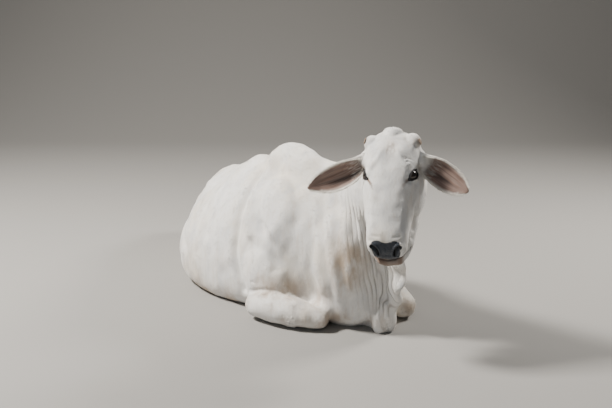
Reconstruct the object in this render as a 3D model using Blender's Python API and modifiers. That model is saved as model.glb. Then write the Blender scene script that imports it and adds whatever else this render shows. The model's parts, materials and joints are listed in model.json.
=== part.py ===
"""A nelore cow at rest, life size: it lies on its brisket with folded forelegs and looks to its right.

Frame: +Z is up and the floor is z = 0. The animal faces -Y, so its right side is -X. The forms are
set out from a point on the floor under the top of the hump, and the whole is then centred, so that
the origin is the middle of its footprint. All sizes are metres.
"""

import math

import bmesh
import bpy
import numpy as np
from mathutils import Matrix, Vector

# driving dimensions
HUMP_TOP = 0.744
HUMP_HALF_LENGTH = 0.225
HUMP_HALF_WIDTH = 0.095
HEAD_YAW = 51.0  # degrees, nose turned from -Y towards -X
HEAD_DROP = 64.0  # degrees, face line below level
HEAD_ROLL = 2.5  # degrees, muzzle swung to its left
POLL = (0.014, -0.678, 0.902)
EAR_THICKNESS = 0.010
EYE_RADIUS = 0.0265
EYE = (0.0780, -0.032, 0.186)  # centre of the left eye in the head's own axes
BUD_RADIUS = 0.017
BUD = (0.093, -0.041, 0.052)
GAP = 0.0004  # left between pieces that touch

# how fine the fused flesh is, and how many triangles are kept
BODY_VOXEL = 0.013
FINE_VOXEL = 0.0052
BODY_TRIANGLES = 4600
WHOLE_TRIANGLES_FOR_HEAD = 24000

# outline of the block that the head is cut out with, in the head's axes (out of the face, along)
HEAD_BLOCK = ((0.14, -0.14), (-0.085, -0.070), (-0.240, 0.190), (-0.234, 0.250), (-0.168, 0.470),
              (-0.100, 0.640), (0.14, 0.640))

# trunk: y, spine x, top, bottom, left, right, widest height, top power, bottom power, roll
TRUNK = (
    (-0.44, 0.070, 0.44, 0.100, 0.070, 0.070, 0.260, 2.00, 2.0, 0),
    (-0.36, 0.060, 0.56, 0.020, 0.150, 0.150, 0.280, 2.00, 2.2, 0),
    (-0.22, 0.030, 0.64, -0.040, 0.205, 0.205, 0.300, 2.00, 2.5, 0),
    (-0.08, 0.010, 0.67, -0.040, 0.240, 0.240, 0.270, 1.90, 2.8, 0),
    (0.08, 0.000, 0.672, -0.040, 0.275, 0.310, 0.200, 1.75, 3.4, 0),
    (0.22, 0.015, 0.645, -0.040, 0.315, 0.372, 0.165, 1.60, 3.6, 0),
    (0.36, 0.045, 0.603, -0.040, 0.345, 0.395, 0.160, 1.55, 3.6, 1),
    (0.50, 0.080, 0.556, -0.040, 0.345, 0.375, 0.160, 1.55, 3.4, 3),
    (0.64, 0.130, 0.522, -0.040, 0.315, 0.315, 0.170, 1.65, 3.0, 6),
    (0.78, 0.190, 0.495, -0.030, 0.265, 0.250, 0.180, 1.75, 2.6, 8),
    (0.90, 0.240, 0.450, 0.000, 0.205, 0.185, 0.190, 1.80, 2.3, 8),
    (0.99, 0.285, 0.385, 0.050, 0.140, 0.120, 0.200, 2.00, 2.0, 6),
)

# path point, half widths (left, right, top, bottom)
NECK = (
    (0.025, -0.10, 0.440, 0.175, 0.175, 0.235, 0.260),
    (0.055, -0.26, 0.470, 0.140, 0.140, 0.235, 0.250),
    (0.075, -0.40, 0.545, 0.105, 0.105, 0.175, 0.190),
    (0.072, -0.52, 0.640, 0.088, 0.088, 0.125, 0.140),
    (0.055, -0.61, 0.725, 0.080, 0.080, 0.100, 0.110),
    (0.045, -0.66, 0.780, 0.075, 0.075, 0.080, 0.090),
)
DEWLAP = (
    (0.112, -0.51, -0.04, 0.045, 0.045, 0.045, 0.160),
    (0.112, -0.51, 0.05, 0.045, 0.045, 0.080, 0.180),
    (0.114, -0.53, 0.16, 0.038, 0.038, 0.120, 0.180),
    (0.116, -0.54, 0.27, 0.032, 0.032, 0.130, 0.170),
    (0.116, -0.56, 0.38, 0.028, 0.028, 0.120, 0.150),
    (0.105, -0.60, 0.50, 0.026, 0.026, 0.090, 0.120),
    (0.070, -0.65, 0.60, 0.026, 0.026, 0.055, 0.080),
)

# balls: centre, radii, turn about x, y and z in degrees
BALLS = {
    "hump": ((0.004, -0.035, 0.60), (HUMP_HALF_WIDTH, HUMP_HALF_LENGTH, HUMP_TOP - 0.60), (-3, 0, 0)),
    "brisket": ((0.055, -0.34, 0.13), (0.158, 0.205, 0.17), (0, 0, 0)),
    "shoulder_right": ((-0.155, -0.07, 0.35), (0.095, 0.19, 0.27), (18, 8, 6)),
    "shoulder_left": ((0.175, -0.09, 0.35), (0.095, 0.19, 0.27), (18, -8, -6)),
    "arm_right": ((-0.203, -0.115, 0.165), (0.088, 0.145, 0.170), (-22, 0, 8)),
    "neck_base": ((0.030, -0.37, 0.29), (0.158, 0.185, 0.27), (0, 0, 0)),
    "lobe_right": ((0.066, -0.572, 0.058), (0.035, 0.036, 0.078), (0, 0, 0)),
    "lobe_left": ((0.112, -0.590, 0.060), (0.030, 0.034, 0.070), (0, 0, 0)),
    "arm_left": ((0.245, -0.16, 0.20), (0.085, 0.13, 0.17), (-30, 0, -8)),
    "thigh_right": ((0.00, 0.60, 0.15), (0.23, 0.24, 0.17), (0, 0, -20)),
    "thigh_left": ((0.36, 0.70, 0.22), (0.15, 0.27, 0.20), (0, 0, -12)),
    "hook_right": ((-0.03, 0.655, 0.415), (0.05, 0.07, 0.04), (0, 0, 0)),
    "hook_left": ((0.280, 0.62, 0.438), (0.07, 0.10, 0.05), (0, 20, 0)),
    "pin_left": ((0.345, 0.96, 0.330), (0.05, 0.06, 0.05), (0, 0, 0)),
    "pin_right": ((0.235, 1.00, 0.300), (0.05, 0.06, 0.05), (0, 0, 0)),
}

# limbs: path point, half width, half height
LIMBS = {
    "forearm_right": (
        (-0.262, -0.120, 0.062, 0.072, 0.060),
        (-0.240, -0.210, 0.070, 0.074, 0.068),
        (-0.198, -0.298, 0.067, 0.069, 0.067),
        (-0.148, -0.366, 0.056, 0.060, 0.054),
        (-0.106, -0.408, 0.047, 0.050, 0.045),
    ),
    "cannon_right": (
        (-0.108, -0.400, 0.044, 0.038, 0.036),
        (-0.150, -0.345, 0.038, 0.033, 0.033),
        (-0.184, -0.285, 0.034, 0.028, 0.030),
        (-0.202, -0.228, 0.034, 0.031, 0.032),
        (-0.202, -0.188, 0.033, 0.027, 0.029),
    ),
    "forearm_left": (
        (0.285, -0.160, 0.115, 0.070, 0.085),
        (0.288, -0.270, 0.106, 0.068, 0.080),
        (0.280, -0.380, 0.090, 0.060, 0.068),
        (0.262, -0.475, 0.070, 0.058, 0.060),
        (0.248, -0.530, 0.058, 0.058, 0.056),
    ),
    "cannon_left": (
        (0.262, -0.53, 0.050, 0.040, 0.040),
        (0.315, -0.475, 0.032, 0.028, 0.030),
        (0.345, -0.400, 0.028, 0.024, 0.026),
        (0.362, -0.330, 0.030, 0.030, 0.030),
        (0.368, -0.285, 0.032, 0.026, 0.028),
    ),
    "shank_left": (
        (0.43, 0.50, 0.19, 0.090, 0.120),
        (0.49, 0.58, 0.15, 0.075, 0.105),
        (0.53, 0.70, 0.10, 0.052, 0.075),
        (0.545, 0.80, 0.070, 0.040, 0.056),
    ),
    "hind_cannon_left": (
        (0.545, 0.83, 0.058, 0.038, 0.046),
        (0.572, 0.74, 0.040, 0.030, 0.036),
        (0.595, 0.62, 0.032, 0.026, 0.030),
        (0.608, 0.54, 0.035, 0.033, 0.034),
        (0.612, 0.50, 0.033, 0.028, 0.030),
    ),
    "hind_cannon_right": (
        (0.26, 0.46, 0.080, 0.080, 0.090),
        (0.35, 0.385, 0.050, 0.044, 0.052),
        (0.43, 0.325, 0.036, 0.028, 0.032),
        (0.49, 0.285, 0.036, 0.033, 0.034),
        (0.525, 0.262, 0.033, 0.028, 0.030),
    ),
    "tail_root": (
        (0.285, 0.98, 0.385, 0.030, 0.030),
        (0.300, 1.04, 0.350, 0.024, 0.024),
        (0.305, 1.075, 0.290, 0.019, 0.019),
    ),
}

# head in its own axes: along, forehead line, lower line, half width, top power, bottom power
SKULL = (
    (0.028, -0.040, -0.130, 0.080, 2.4, 2.2), (0.056, -0.012, -0.150, 0.102, 2.5, 2.2),
    (0.090, 0.008, -0.165, 0.108, 2.6, 2.0), (0.150, 0.016, -0.172, 0.108, 2.6, 1.9),
    (0.220, 0.017, -0.168, 0.104, 2.5, 1.9), (0.290, 0.012, -0.152, 0.098, 2.3, 1.9),
    (0.350, 0.004, -0.134, 0.090, 2.3, 2.0), (0.390, -0.002, -0.116, 0.084, 2.4, 2.0),
    (0.420, -0.006, -0.106, 0.082, 2.5, 2.2), (0.444, -0.017, -0.102, 0.080, 2.5, 2.4),
    (0.466, -0.036, -0.100, 0.076, 2.4, 2.4), (0.484, -0.057, -0.098, 0.064, 2.2, 2.3),
)
JAW = (
    (0.110, -0.120, -0.185, 0.078, 2.0, 2.0), (0.175, -0.105, -0.222, 0.098, 2.0, 2.0),
    (0.240, -0.092, -0.218, 0.104, 2.0, 2.0), (0.310, -0.086, -0.192, 0.103, 2.1, 2.0),
    (0.380, -0.080, -0.166, 0.097, 2.1, 2.0), (0.440, -0.080, -0.152, 0.087, 2.1, 2.0),
    (0.480, -0.086, -0.148, 0.072, 2.2, 2.1), (0.508, -0.094, -0.138, 0.052, 2.2, 2.1),
)
JAW_ASIDE = 0.007  # the jaw is a little to its left, as in chewing
HEAD_BALLS = (
    ((0.0, -0.064, 0.058), (0.100, 0.056, 0.050)),
    ((0.070, -0.040, 0.186), (0.036, 0.042, 0.050)),
    ((-0.070, -0.040, 0.186), (0.036, 0.042, 0.050)),
    ((0.074, -0.118, 0.215), (0.060, 0.085, 0.125)),
    ((-0.064, -0.125, 0.225), (0.056, 0.085, 0.120)),
    ((0.045, -0.048, 0.448), (0.031, 0.028, 0.032)),
    ((-0.045, -0.048, 0.448), (0.031, 0.028, 0.032)),
    ((0.0, -0.052, 0.027), (0.039, 0.040, 0.043)),
    ((0.076, -0.052, 0.050), (0.036, 0.036, 0.037)),
    ((-0.079, -0.054, 0.058), (0.034, 0.036, 0.036)),
    ((0.098, -0.082, 0.112), (0.036, 0.034, 0.044)),
    ((-0.098, -0.082, 0.116), (0.036, 0.034, 0.044)),
)


def unit(v):
    return v / np.maximum(np.linalg.norm(v, axis=-1, keepdims=True), 1e-12)


def smooth_rows(rows, per):
    """More rows through a table, on Catmull-Rom curves."""
    rows = np.asarray(rows, float)
    ends = np.vstack([2 * rows[0] - rows[1], rows, 2 * rows[-1] - rows[-2]])
    t = np.linspace(0, 1, per, endpoint=False)[:, None]
    out = []
    for a, b, c, d in zip(ends[:-3], ends[1:-2], ends[2:-1], ends[3:]):
        out.append(0.5 * (2 * b + (c - a) * t + (2 * a - 5 * b + 4 * c - d) * t**2
                          + (3 * b - a - 3 * c + d) * t**3))
    return np.vstack(out + [rows[-1:]])


def loft(rows, up=(0, 0, 1), ring=32, per=4, cap=0.5, cap_rings=4):
    """A closed skin over rings square to a path, as vertices and faces.

    Each row is x, y, z, four half widths (side, other side, up, down), two powers and a roll.
    """
    rows = smooth_rows(rows, per)
    centre = rows[:, :3]
    tangent = unit(np.gradient(centre, axis=0))
    side = unit(np.cross(tangent, np.asarray(up, float)))
    lift = np.cross(side, tangent)
    roll = np.radians(rows[:, 9])[:, None]
    side, lift = side * np.cos(roll) + lift * np.sin(roll), lift * np.cos(roll) - side * np.sin(roll)
    angle = np.linspace(0, 2 * np.pi, ring, endpoint=False)
    c, s = np.cos(angle)[None], np.sin(angle)[None]
    power = np.where(s >= 0, rows[:, 7:8], rows[:, 8:9])
    x = np.sign(c) * np.abs(c) ** (2 / power) * np.where(c >= 0, rows[:, 3:4], rows[:, 4:5])
    y = np.sign(s) * np.abs(s) ** (2 / power) * np.where(s >= 0, rows[:, 5:6], rows[:, 6:7])
    rings = centre[:, None] + x[..., None] * side[:, None] + y[..., None] * lift[:, None]
    reach = cap * rows[:, 3:7].mean(1)
    k = np.linspace(0, np.pi / 2, cap_rings + 1)[1:-1][:, None, None]
    first = centre[0] + (rings[0] - centre[0]) * np.cos(k) - reach[0] * np.sin(k) * tangent[0]
    last = centre[-1] + (rings[-1] - centre[-1]) * np.cos(k) + reach[-1] * np.sin(k) * tangent[-1]
    rings = np.concatenate([first[::-1], rings, last])
    count = len(rings)
    points = np.vstack([rings.reshape(-1, 3), centre[0] - reach[0] * tangent[0],
                        centre[-1] + reach[-1] * tangent[-1]])
    start, end = count * ring, count * ring + 1
    faces = []
    for i in range(count - 1):
        for j in range(ring):
            k = (j + 1) % ring
            faces.append((i * ring + j, (i + 1) * ring + j, (i + 1) * ring + k, i * ring + k))
    for j in range(ring):
        k = (j + 1) % ring
        faces.append((start, j, k))
        faces.append((end, (count - 1) * ring + k, (count - 1) * ring + j))
    return points, faces


def simple(rows):
    """Rows of point and half widths, filled up to what loft reads."""
    out = []
    for row in rows:
        half = row[3:] if len(row) == 7 else (row[3], row[3], row[4], row[4])
        out.append((*row[:3], *half, 2, 2, 0))
    return out


def turned(turn):
    ax, ay, az = (math.radians(a) for a in turn)
    return Matrix.Rotation(az, 4, "Z") @ Matrix.Rotation(ay, 4, "Y") @ Matrix.Rotation(ax, 4, "X")


def head_matrix():
    """Head axes to the body's: x to the animal's left, y out of the face, z from poll to muzzle."""
    yaw, drop = math.radians(HEAD_YAW), math.radians(HEAD_DROP)
    level = Vector((-math.sin(yaw), -math.cos(yaw), 0))
    along = level * math.cos(drop) - Vector((0, 0, math.sin(drop)))
    side = Vector((0, 0, 1)).cross(level)
    face = along.cross(side)
    cos, sin = math.cos(math.radians(HEAD_ROLL)), math.sin(math.radians(HEAD_ROLL))
    side, along = side * cos - along * sin, along * cos + side * sin
    turn = Matrix((side, face, along)).transposed().to_4x4()
    return Matrix.Translation(Vector(POLL)) @ turn


def add(name, points, faces, where):
    mesh = bpy.data.meshes.new(name)
    mesh.from_pydata([tuple(p) for p in points], [], faces)
    obj = bpy.data.objects.new(name, mesh)
    where.objects.link(obj)
    facing_out(obj)
    return obj


def facing_out(obj):
    bm = bmesh.new()
    bm.from_mesh(obj.data)
    bmesh.ops.recalc_face_normals(bm, faces=bm.faces)
    if bm.calc_volume(signed=True) < 0:
        bmesh.ops.reverse_faces(bm, faces=bm.faces)
    bm.to_mesh(obj.data)
    bm.free()


def ball(name, centre, radii, turn, where, across=32, up=20):
    bm = bmesh.new()
    bmesh.ops.create_uvsphere(bm, u_segments=across, v_segments=up, radius=1)
    shape = Matrix.Translation(Vector(centre)) @ turned(turn) @ Matrix.Diagonal((*radii, 1))
    bmesh.ops.transform(bm, matrix=shape, verts=bm.verts)
    mesh = bpy.data.meshes.new(name)
    bm.to_mesh(mesh)
    bm.free()
    obj = bpy.data.objects.new(name, mesh)
    where.objects.link(obj)
    return obj


def settled(obj):
    """Replaces the mesh by what its modifiers make of it."""
    bpy.context.view_layer.update()
    graph = bpy.context.evaluated_depsgraph_get()
    mesh = bpy.data.meshes.new_from_object(obj.evaluated_get(graph), depsgraph=graph)
    obj.modifiers.clear()
    obj.data = mesh
    return obj


def joined(name, objects, where):
    bm = bmesh.new()
    for obj in objects:
        copy = obj.data.copy()
        copy.transform(obj.matrix_world)
        bm.from_mesh(copy)
    mesh = bpy.data.meshes.new(name)
    bm.to_mesh(mesh)
    bm.free()
    result = bpy.data.objects.new(name, mesh)
    where.objects.link(result)
    return result


def fused(obj, voxel, rounds, factor=0.5):
    remesh = obj.modifiers.new("fuse", "REMESH")
    remesh.mode = "VOXEL"
    remesh.voxel_size = voxel
    smooth = obj.modifiers.new("soften", "SMOOTH")
    smooth.iterations = rounds
    smooth.factor = factor
    return settled(obj)


def thinned(obj, triangles):
    """Fewer triangles, down to about the number asked for."""
    obj.data.calc_loop_triangles()
    have = len(obj.data.loop_triangles)
    if have > triangles:
        decimate = obj.modifiers.new("thin", "DECIMATE")
        decimate.ratio = triangles / have
        decimate.use_collapse_triangulate = True
        settled(obj)
    return obj


def measured(mesh):
    """Volume of a mesh, and its edges that don't have two faces."""
    bm = bmesh.new()
    bm.from_mesh(mesh)
    volume = bm.calc_volume(signed=True)
    count = sum(1 for edge in bm.edges if len(edge.link_faces) != 2)
    bm.free()
    return volume, count


def boolean(obj, cutter, operation):
    """An exact Boolean, or the manifold solver's where the exact one is open or has lost something."""
    before = obj.data
    made = {}
    for solver in ("EXACT", "MANIFOLD"):
        obj.data = before
        cut = obj.modifiers.new("cut", "BOOLEAN")
        cut.operation = operation
        cut.solver = solver
        cut.object = cutter
        settled(obj)
        made[solver] = (obj.data, *measured(obj.data))
    exact, manifold = made["EXACT"], made["MANIFOLD"]
    fine = exact[2] == 0 and abs(exact[1] - manifold[1]) < 2e-8
    obj.data = exact[0] if fine or manifold[2] else manifold[0]
    return obj


def tidied(obj):
    """Triangles facing out, without slivers where that keeps the surface closed."""
    for distance in (0.0004, 0.0001, 0.0):
        bm = bmesh.new()
        bm.from_mesh(obj.data)
        bmesh.ops.triangulate(bm, faces=bm.faces)
        if distance:
            bmesh.ops.dissolve_degenerate(bm, dist=distance, edges=bm.edges)
            bmesh.ops.triangulate(bm, faces=bm.faces)
        bmesh.ops.recalc_face_normals(bm, faces=bm.faces)
        if bm.calc_volume(signed=True) < 0:
            bmesh.ops.reverse_faces(bm, faces=bm.faces)
        closed = all(len(edge.link_faces) == 2 for edge in bm.edges)
        pairs = {tuple(sorted(v.index for v in face.verts)) for face in bm.faces}
        if closed and len(pairs) == len(bm.faces) or not distance:
            bm.to_mesh(obj.data)
            bm.free()
            break
        bm.free()
    return obj


def copied(obj, name, where):
    copy = bpy.data.objects.new(name, obj.data.copy())
    where.objects.link(copy)
    return copy


def largest(obj):
    """Keeps the biggest closed shell."""
    bm = bmesh.new()
    bm.from_mesh(obj.data)
    left = set(bm.verts)
    shells = []
    while left:
        seed = left.pop()
        shell = {seed}
        front = [seed]
        while front:
            vert = front.pop()
            for edge in vert.link_edges:
                other = edge.other_vert(vert)
                if other in left:
                    left.discard(other)
                    shell.add(other)
                    front.append(other)
        shells.append(shell)
    shells.sort(key=len, reverse=True)
    for shell in shells[1:]:
        bmesh.ops.delete(bm, geom=list(shell), context="VERTS")
    bm.to_mesh(obj.data)
    bm.free()
    return obj


def vertices(obj):
    points = np.empty(len(obj.data.vertices) * 3)
    obj.data.vertices.foreach_get("co", points)
    normals = np.empty(len(obj.data.vertices) * 3)
    obj.data.vertices.foreach_get("normal", normals)
    return points.reshape(-1, 3), normals.reshape(-1, 3)


def move(obj, points):
    obj.data.vertices.foreach_set("co", np.ascontiguousarray(points).ravel())
    obj.data.update()


def off_line(points, line):
    """Distance of each point from a polyline."""
    line = np.asarray(line, float)
    best = np.full(len(points), 1e9)
    for a, b in zip(line[:-1], line[1:]):
        ab = b - a
        t = np.clip((points - a) @ ab / (ab @ ab), 0, 1)
        best = np.minimum(best, np.linalg.norm(points - a - t[:, None] * ab, axis=1))
    return best


def inside_head(points):
    """Body points in the head's own axes."""
    inverse = np.array(head_matrix().inverted())
    return points @ inverse[:3, :3].T + inverse[:3, 3]


# swellings and hollows of the body: centre, radius, height
BODY_SPOTS = (
    ((-0.10, 0.53, 0.47), 0.085, -0.020),
    ((0.28, 0.50, 0.50), 0.085, -0.018),
    ((-0.02, 0.645, 0.445), 0.045, 0.010),
    ((0.005, 0.14, 0.69), 0.060, -0.008),
)

# folds: line, width, height
BODY_FOLDS = (
    (((-0.10, 0.03, 0.66), (-0.19, 0.00, 0.50), (-0.24, -0.04, 0.36)), 0.022, 0.010),
    (((-0.08, 0.08, 0.62), (-0.20, 0.07, 0.45), (-0.30, 0.02, 0.25), (-0.30, -0.03, 0.10)), 0.020, -0.012),
    (((-0.305, -0.09, 0.115), (-0.268, -0.19, 0.145), (-0.20, -0.28, 0.145)), 0.012, -0.009),
    (((-0.06, -0.30, 0.56), (-0.10, -0.36, 0.40), (-0.10, -0.40, 0.24)), 0.016, 0.008),
    (((-0.03, -0.38, 0.60), (-0.04, -0.44, 0.45), (-0.03, -0.48, 0.25)), 0.014, 0.008),
    (((0.00, -0.44, 0.64), (0.01, -0.50, 0.48), (0.02, -0.53, 0.25)), 0.012, 0.008),
    (((0.060, -0.57, 0.34), (0.062, -0.60, 0.22), (0.082, -0.60, 0.08)), 0.016, 0.010),
    (((-0.34, 0.42, 0.20), (-0.28, 0.56, 0.24), (-0.16, 0.66, 0.30)), 0.030, -0.008),
)

# marks on the head in its own axes, on both sides: centre, radius, height
HEAD_SPOTS = (
    ((0.036, -0.052, 0.486), 0.010, -0.016),
    ((0.047, -0.040, 0.472), 0.010, -0.018),
    ((0.058, -0.038, 0.452), 0.008, -0.010),
    ((0.030, 0.012, 0.105), 0.028, 0.004),
    ((0.000, 0.016, 0.150), 0.030, -0.003),
    ((0.070, -0.050, 0.310), 0.028, -0.005),
    ((0.104, -0.085, 0.130), 0.022, -0.007),
    ((0.076, -0.004, 0.150), 0.018, 0.006),
)
HEAD_FOLDS = (
    (((0.0, -0.097, 0.506), (0.030, -0.097, 0.500), (0.056, -0.099, 0.484), (0.074, -0.104, 0.464),
      (0.084, -0.108, 0.448)), 0.006, -0.008),
    (((0.0, -0.086, 0.506), (0.034, -0.086, 0.494), (0.064, -0.085, 0.462), (0.080, -0.087, 0.41)),
     0.0085, 0.004),
    (((0.0, -0.109, 0.522), (0.030, -0.109, 0.510), (0.056, -0.110, 0.478), (0.074, -0.113, 0.43)),
     0.0085, 0.0045),
    (((0.0, -0.030, 0.470), (0.0, -0.088, 0.506)), 0.005, -0.003),
    (((0.094, -0.048, 0.235), (0.090, -0.052, 0.300), (0.082, -0.060, 0.350)), 0.012, 0.005),
    (((0.060, -0.002, 0.150), (0.086, 0.004, 0.168), (0.082, 0.004, 0.200)), 0.006, 0.004),
)


def moulded(obj):
    points, normals = vertices(obj)
    lift = np.zeros(len(points))
    for centre, radius, height in BODY_SPOTS:
        lift += height * np.exp(-np.sum((points - centre) ** 2, axis=1) / radius**2)
    for line, width, height in BODY_FOLDS:
        lift += height * np.exp(-(off_line(points, line) / width) ** 2)
    move(obj, points + normals * lift[:, None])


def carved_head(obj):
    points, normals = vertices(obj)
    local = inside_head(points)
    lift = np.zeros(len(points))
    for side in (1, -1):
        mirrored = local * (side, 1, 1)
        for centre, radius, height in HEAD_SPOTS:
            share = 0.5 if centre[0] == 0 else 1
            lift += share * height * np.exp(-np.sum((mirrored - centre) ** 2, axis=1) / radius**2)
        for line, width, height in HEAD_FOLDS:
            off = off_line(mirrored, line)
            part = height * np.exp(-(off / width) ** 2)
            lift = np.where(np.abs(part) > np.abs(lift), part, lift)
    move(obj, points + normals * lift[:, None])


EYE_LOOK = {1: (0.83, 0.56), -1: (0.965, 0.26)}  # how far each eye looks out and ahead


def eye_axes(side):
    """Looking direction, along the slit and across it, in the head's axes."""
    out, ahead = EYE_LOOK[side]
    look = Vector((out * side, ahead, 0.02)).normalized()
    slit = Vector((-ahead * side * 0.65, out * 0.65, 0.76)).normalized()
    across = look.cross(slit).normalized()
    slit = across.cross(look).normalized()
    return look, slit, across


def eye_centre(side):
    return head_matrix() @ Vector((EYE[0] * side, EYE[1], EYE[2]))


def slit_cutter(side, where):
    """The almond opening between the lids."""
    look, slit, across = eye_axes(side)
    bm = bmesh.new()
    bmesh.ops.create_uvsphere(bm, u_segments=18, v_segments=8, radius=1)
    centre = Vector((EYE[0] * side, EYE[1], EYE[2])) + look * (EYE_RADIUS + 0.006)
    turn = Matrix((slit * 0.0245, across * 0.0160, look * 0.018)).transposed().to_4x4()
    bmesh.ops.transform(bm, matrix=head_matrix() @ Matrix.Translation(centre) @ turn, verts=bm.verts)
    mesh = bpy.data.meshes.new("slit")
    bm.to_mesh(mesh)
    bm.free()
    obj = bpy.data.objects.new("slit", mesh)
    where.objects.link(obj)
    facing_out(obj)
    return obj


# ears in the head's axes for the left side: centre line, half width, how far it is rolled
EARS = {
    "left": (((0.094, -0.078, 0.103), 0.032, 1.05), ((0.130, -0.086, 0.124), 0.051, 0.95),
             ((0.172, -0.090, 0.148), 0.062, 0.80), ((0.218, -0.092, 0.180), 0.059, 0.62),
             ((0.260, -0.088, 0.210), 0.042, 0.46), ((0.292, -0.081, 0.234), 0.008, 0.20)),
    "right": (((0.094, -0.078, 0.109), 0.032, 1.05), ((0.130, -0.086, 0.134), 0.049, 0.95),
              ((0.180, -0.090, 0.163), 0.061, 0.80), ((0.235, -0.092, 0.190), 0.057, 0.62),
              ((0.287, -0.088, 0.211), 0.039, 0.46), ((0.333, -0.081, 0.233), 0.007, 0.20)),
}
EAR_FACE = (-0.12, 1.0, 0.34)


def ear(name, side, by, where, across=8):
    """A cupped leaf: a sheet bent over its centre line, given thickness with Solidify."""
    table = np.array([(*p, w, cup) for p, w, cup in EARS[name]])
    rows = smooth_rows(table, 2)
    path = rows[:, :3] * (side, 1, 1)
    run = unit(np.gradient(path, axis=0))
    path[0] -= run[0] * by
    path[-1] += run[-1] * by
    look = np.array(EAR_FACE) * (side, 1, 1)
    face = unit(look - run * (run @ look)[:, None])
    wide = np.cross(run, face)
    u = np.linspace(-1, 1, across)
    bend = rows[:, 4:5] * u[None] * 1.25
    radius = (rows[:, 3:4] + by) / np.maximum(rows[:, 4:5] * 1.25, 0.1)
    x = radius * np.sin(bend)
    y = radius * (1 - np.cos(bend))
    sheet = path[:, None] + x[..., None] * wide[:, None] + y[..., None] * face[:, None]
    count = len(rows)
    faces = []
    for i in range(count - 1):
        for j in range(across - 1):
            a = i * across + j
            faces.append((a, a + 1, a + across + 1, a + across))
    mesh = bpy.data.meshes.new("ear_" + name)
    mesh.from_pydata([tuple(p) for p in sheet.reshape(-1, 3)], [], faces)
    obj = bpy.data.objects.new("ear_" + name, mesh)
    where.objects.link(obj)
    mesh.transform(head_matrix())
    thick = obj.modifiers.new("thickness", "SOLIDIFY")
    thick.thickness = EAR_THICKNESS + 2 * by
    thick.offset = 0
    settled(obj)
    facing_out(obj)
    return obj


def claws(name, end, direction, up, by, where, length=0.085, half=0.021):
    """Two hoof claws side by side as one closed mesh."""
    run = Vector(direction).normalized()
    lift = (Vector(up) - run * run.dot(Vector(up))).normalized()
    wide = run.cross(lift)
    made = []
    for side in (-1, 1):
        base = Vector(end) + wide * side * (half - 0.002)
        rows = []
        for t, w, top, low in ((-0.16, 0.70, 0.020, 0.018), (0.06, 1.0, 0.032, 0.034),
                               (0.35, 1.02, 0.026, 0.036), (0.70, 0.90, 0.014, 0.036),
                               (0.95, 0.55, 0.000, 0.034)):
            p = base + run * t * length + wide * side * -0.004 * max(t, 0)
            wide_half = half * w + by
            rows.append((*p, wide_half, wide_half, max(top, 0.004) + by, low + by, 2.4, 3.2, 0))
        points, faces = loft(rows, up=tuple(lift), ring=12, per=1, cap=0.15, cap_rings=1)
        made.append(add(name + "_claw", points, faces, where))
    return made


def fresh():
    for obj in list(bpy.data.objects):
        bpy.data.objects.remove(obj, do_unlink=True)
    for collection in list(bpy.data.collections):
        bpy.data.collections.remove(collection)
    main = bpy.data.collections.new("nelore_cow")
    cutters = bpy.data.collections.new("cutters")
    for collection in (main, cutters):
        bpy.context.scene.collection.children.link(collection)
    return main, cutters


def flesh(work):
    """All soft forms in one closed skin, coarse first so that they run into each other."""
    rows = [(x, y, zm, left, right, top - zm, zm - low, a, b, roll)
            for y, x, top, low, left, right, zm, a, b, roll in TRUNK]
    solids = [add("trunk", *loft(rows, ring=48, per=5), work)]
    solids.append(add("neck", *loft(simple(NECK), ring=36), work))
    solids.append(add("dewlap", *loft(simple(DEWLAP), up=(0, -1, 0), ring=28), work))
    for name, (centre, radii, turn) in BALLS.items():
        solids.append(ball(name, centre, radii, turn, work))
    for name, path in LIMBS.items():
        solids.append(add(name, *loft(simple(path), ring=24), work))
    body = fused(joined("flesh", solids, work), BODY_VOXEL, 8)
    moulded(body)
    return body


def skull(work):
    place = head_matrix()
    solids = []
    for name, table, aside in (("skull", SKULL, 0.0), ("jaw", JAW, JAW_ASIDE)):
        rows = [(aside, (top + low) / 2, s, w, w, (top - low) / 2, (top - low) / 2, a, b, 0)
                for s, top, low, w, a, b in table]
        solid = add(name, *loft(rows, up=(0, 1, 0), ring=40, cap=0.4), work)
        solid.data.transform(place)
        solids.append(solid)
    for centre, radii in HEAD_BALLS:
        solid = ball("swelling", centre, radii, (0, 0, 0), work)
        solid.data.transform(place)
        solids.append(solid)
    return solids


def painted(obj, name, colour, roughness):
    material = bpy.data.materials.new(name)
    material.use_nodes = True
    shader = material.node_tree.nodes["Principled BSDF"]
    shader.inputs["Base Color"].default_value = (*colour, 1)
    shader.inputs["Roughness"].default_value = roughness
    material.diffuse_color = (*colour, 1)
    obj.data.materials.clear()
    obj.data.materials.append(material)


def taken(obj, name, make_cutter, main):
    """Moves the part of obj inside a cutter to a new node, with a thin gap all round."""
    inner = make_cutter(0.0)
    outer = make_cutter(1.5 * GAP)
    node = copied(obj, name, main)
    largest(boolean(node, inner, "INTERSECT"))
    largest(boolean(obj, outer, "DIFFERENCE"))
    return node


def box(low, high, where):
    bm = bmesh.new()
    bmesh.ops.create_cube(bm, size=1)
    size = Vector(high) - Vector(low)
    middle = (Vector(high) + Vector(low)) / 2
    bmesh.ops.transform(bm, matrix=Matrix.Translation(middle) @ Matrix.Diagonal((*size, 1)), verts=bm.verts)
    mesh = bpy.data.meshes.new("box")
    bm.to_mesh(mesh)
    bm.free()
    obj = bpy.data.objects.new("box", mesh)
    where.objects.link(obj)
    return obj


def hide_cutters(cutters):
    for index, obj in enumerate(cutters.objects):
        obj.name = "cutter_%03d" % index
        obj.hide_render = True
        obj.display_type = "WIRE"


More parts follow.
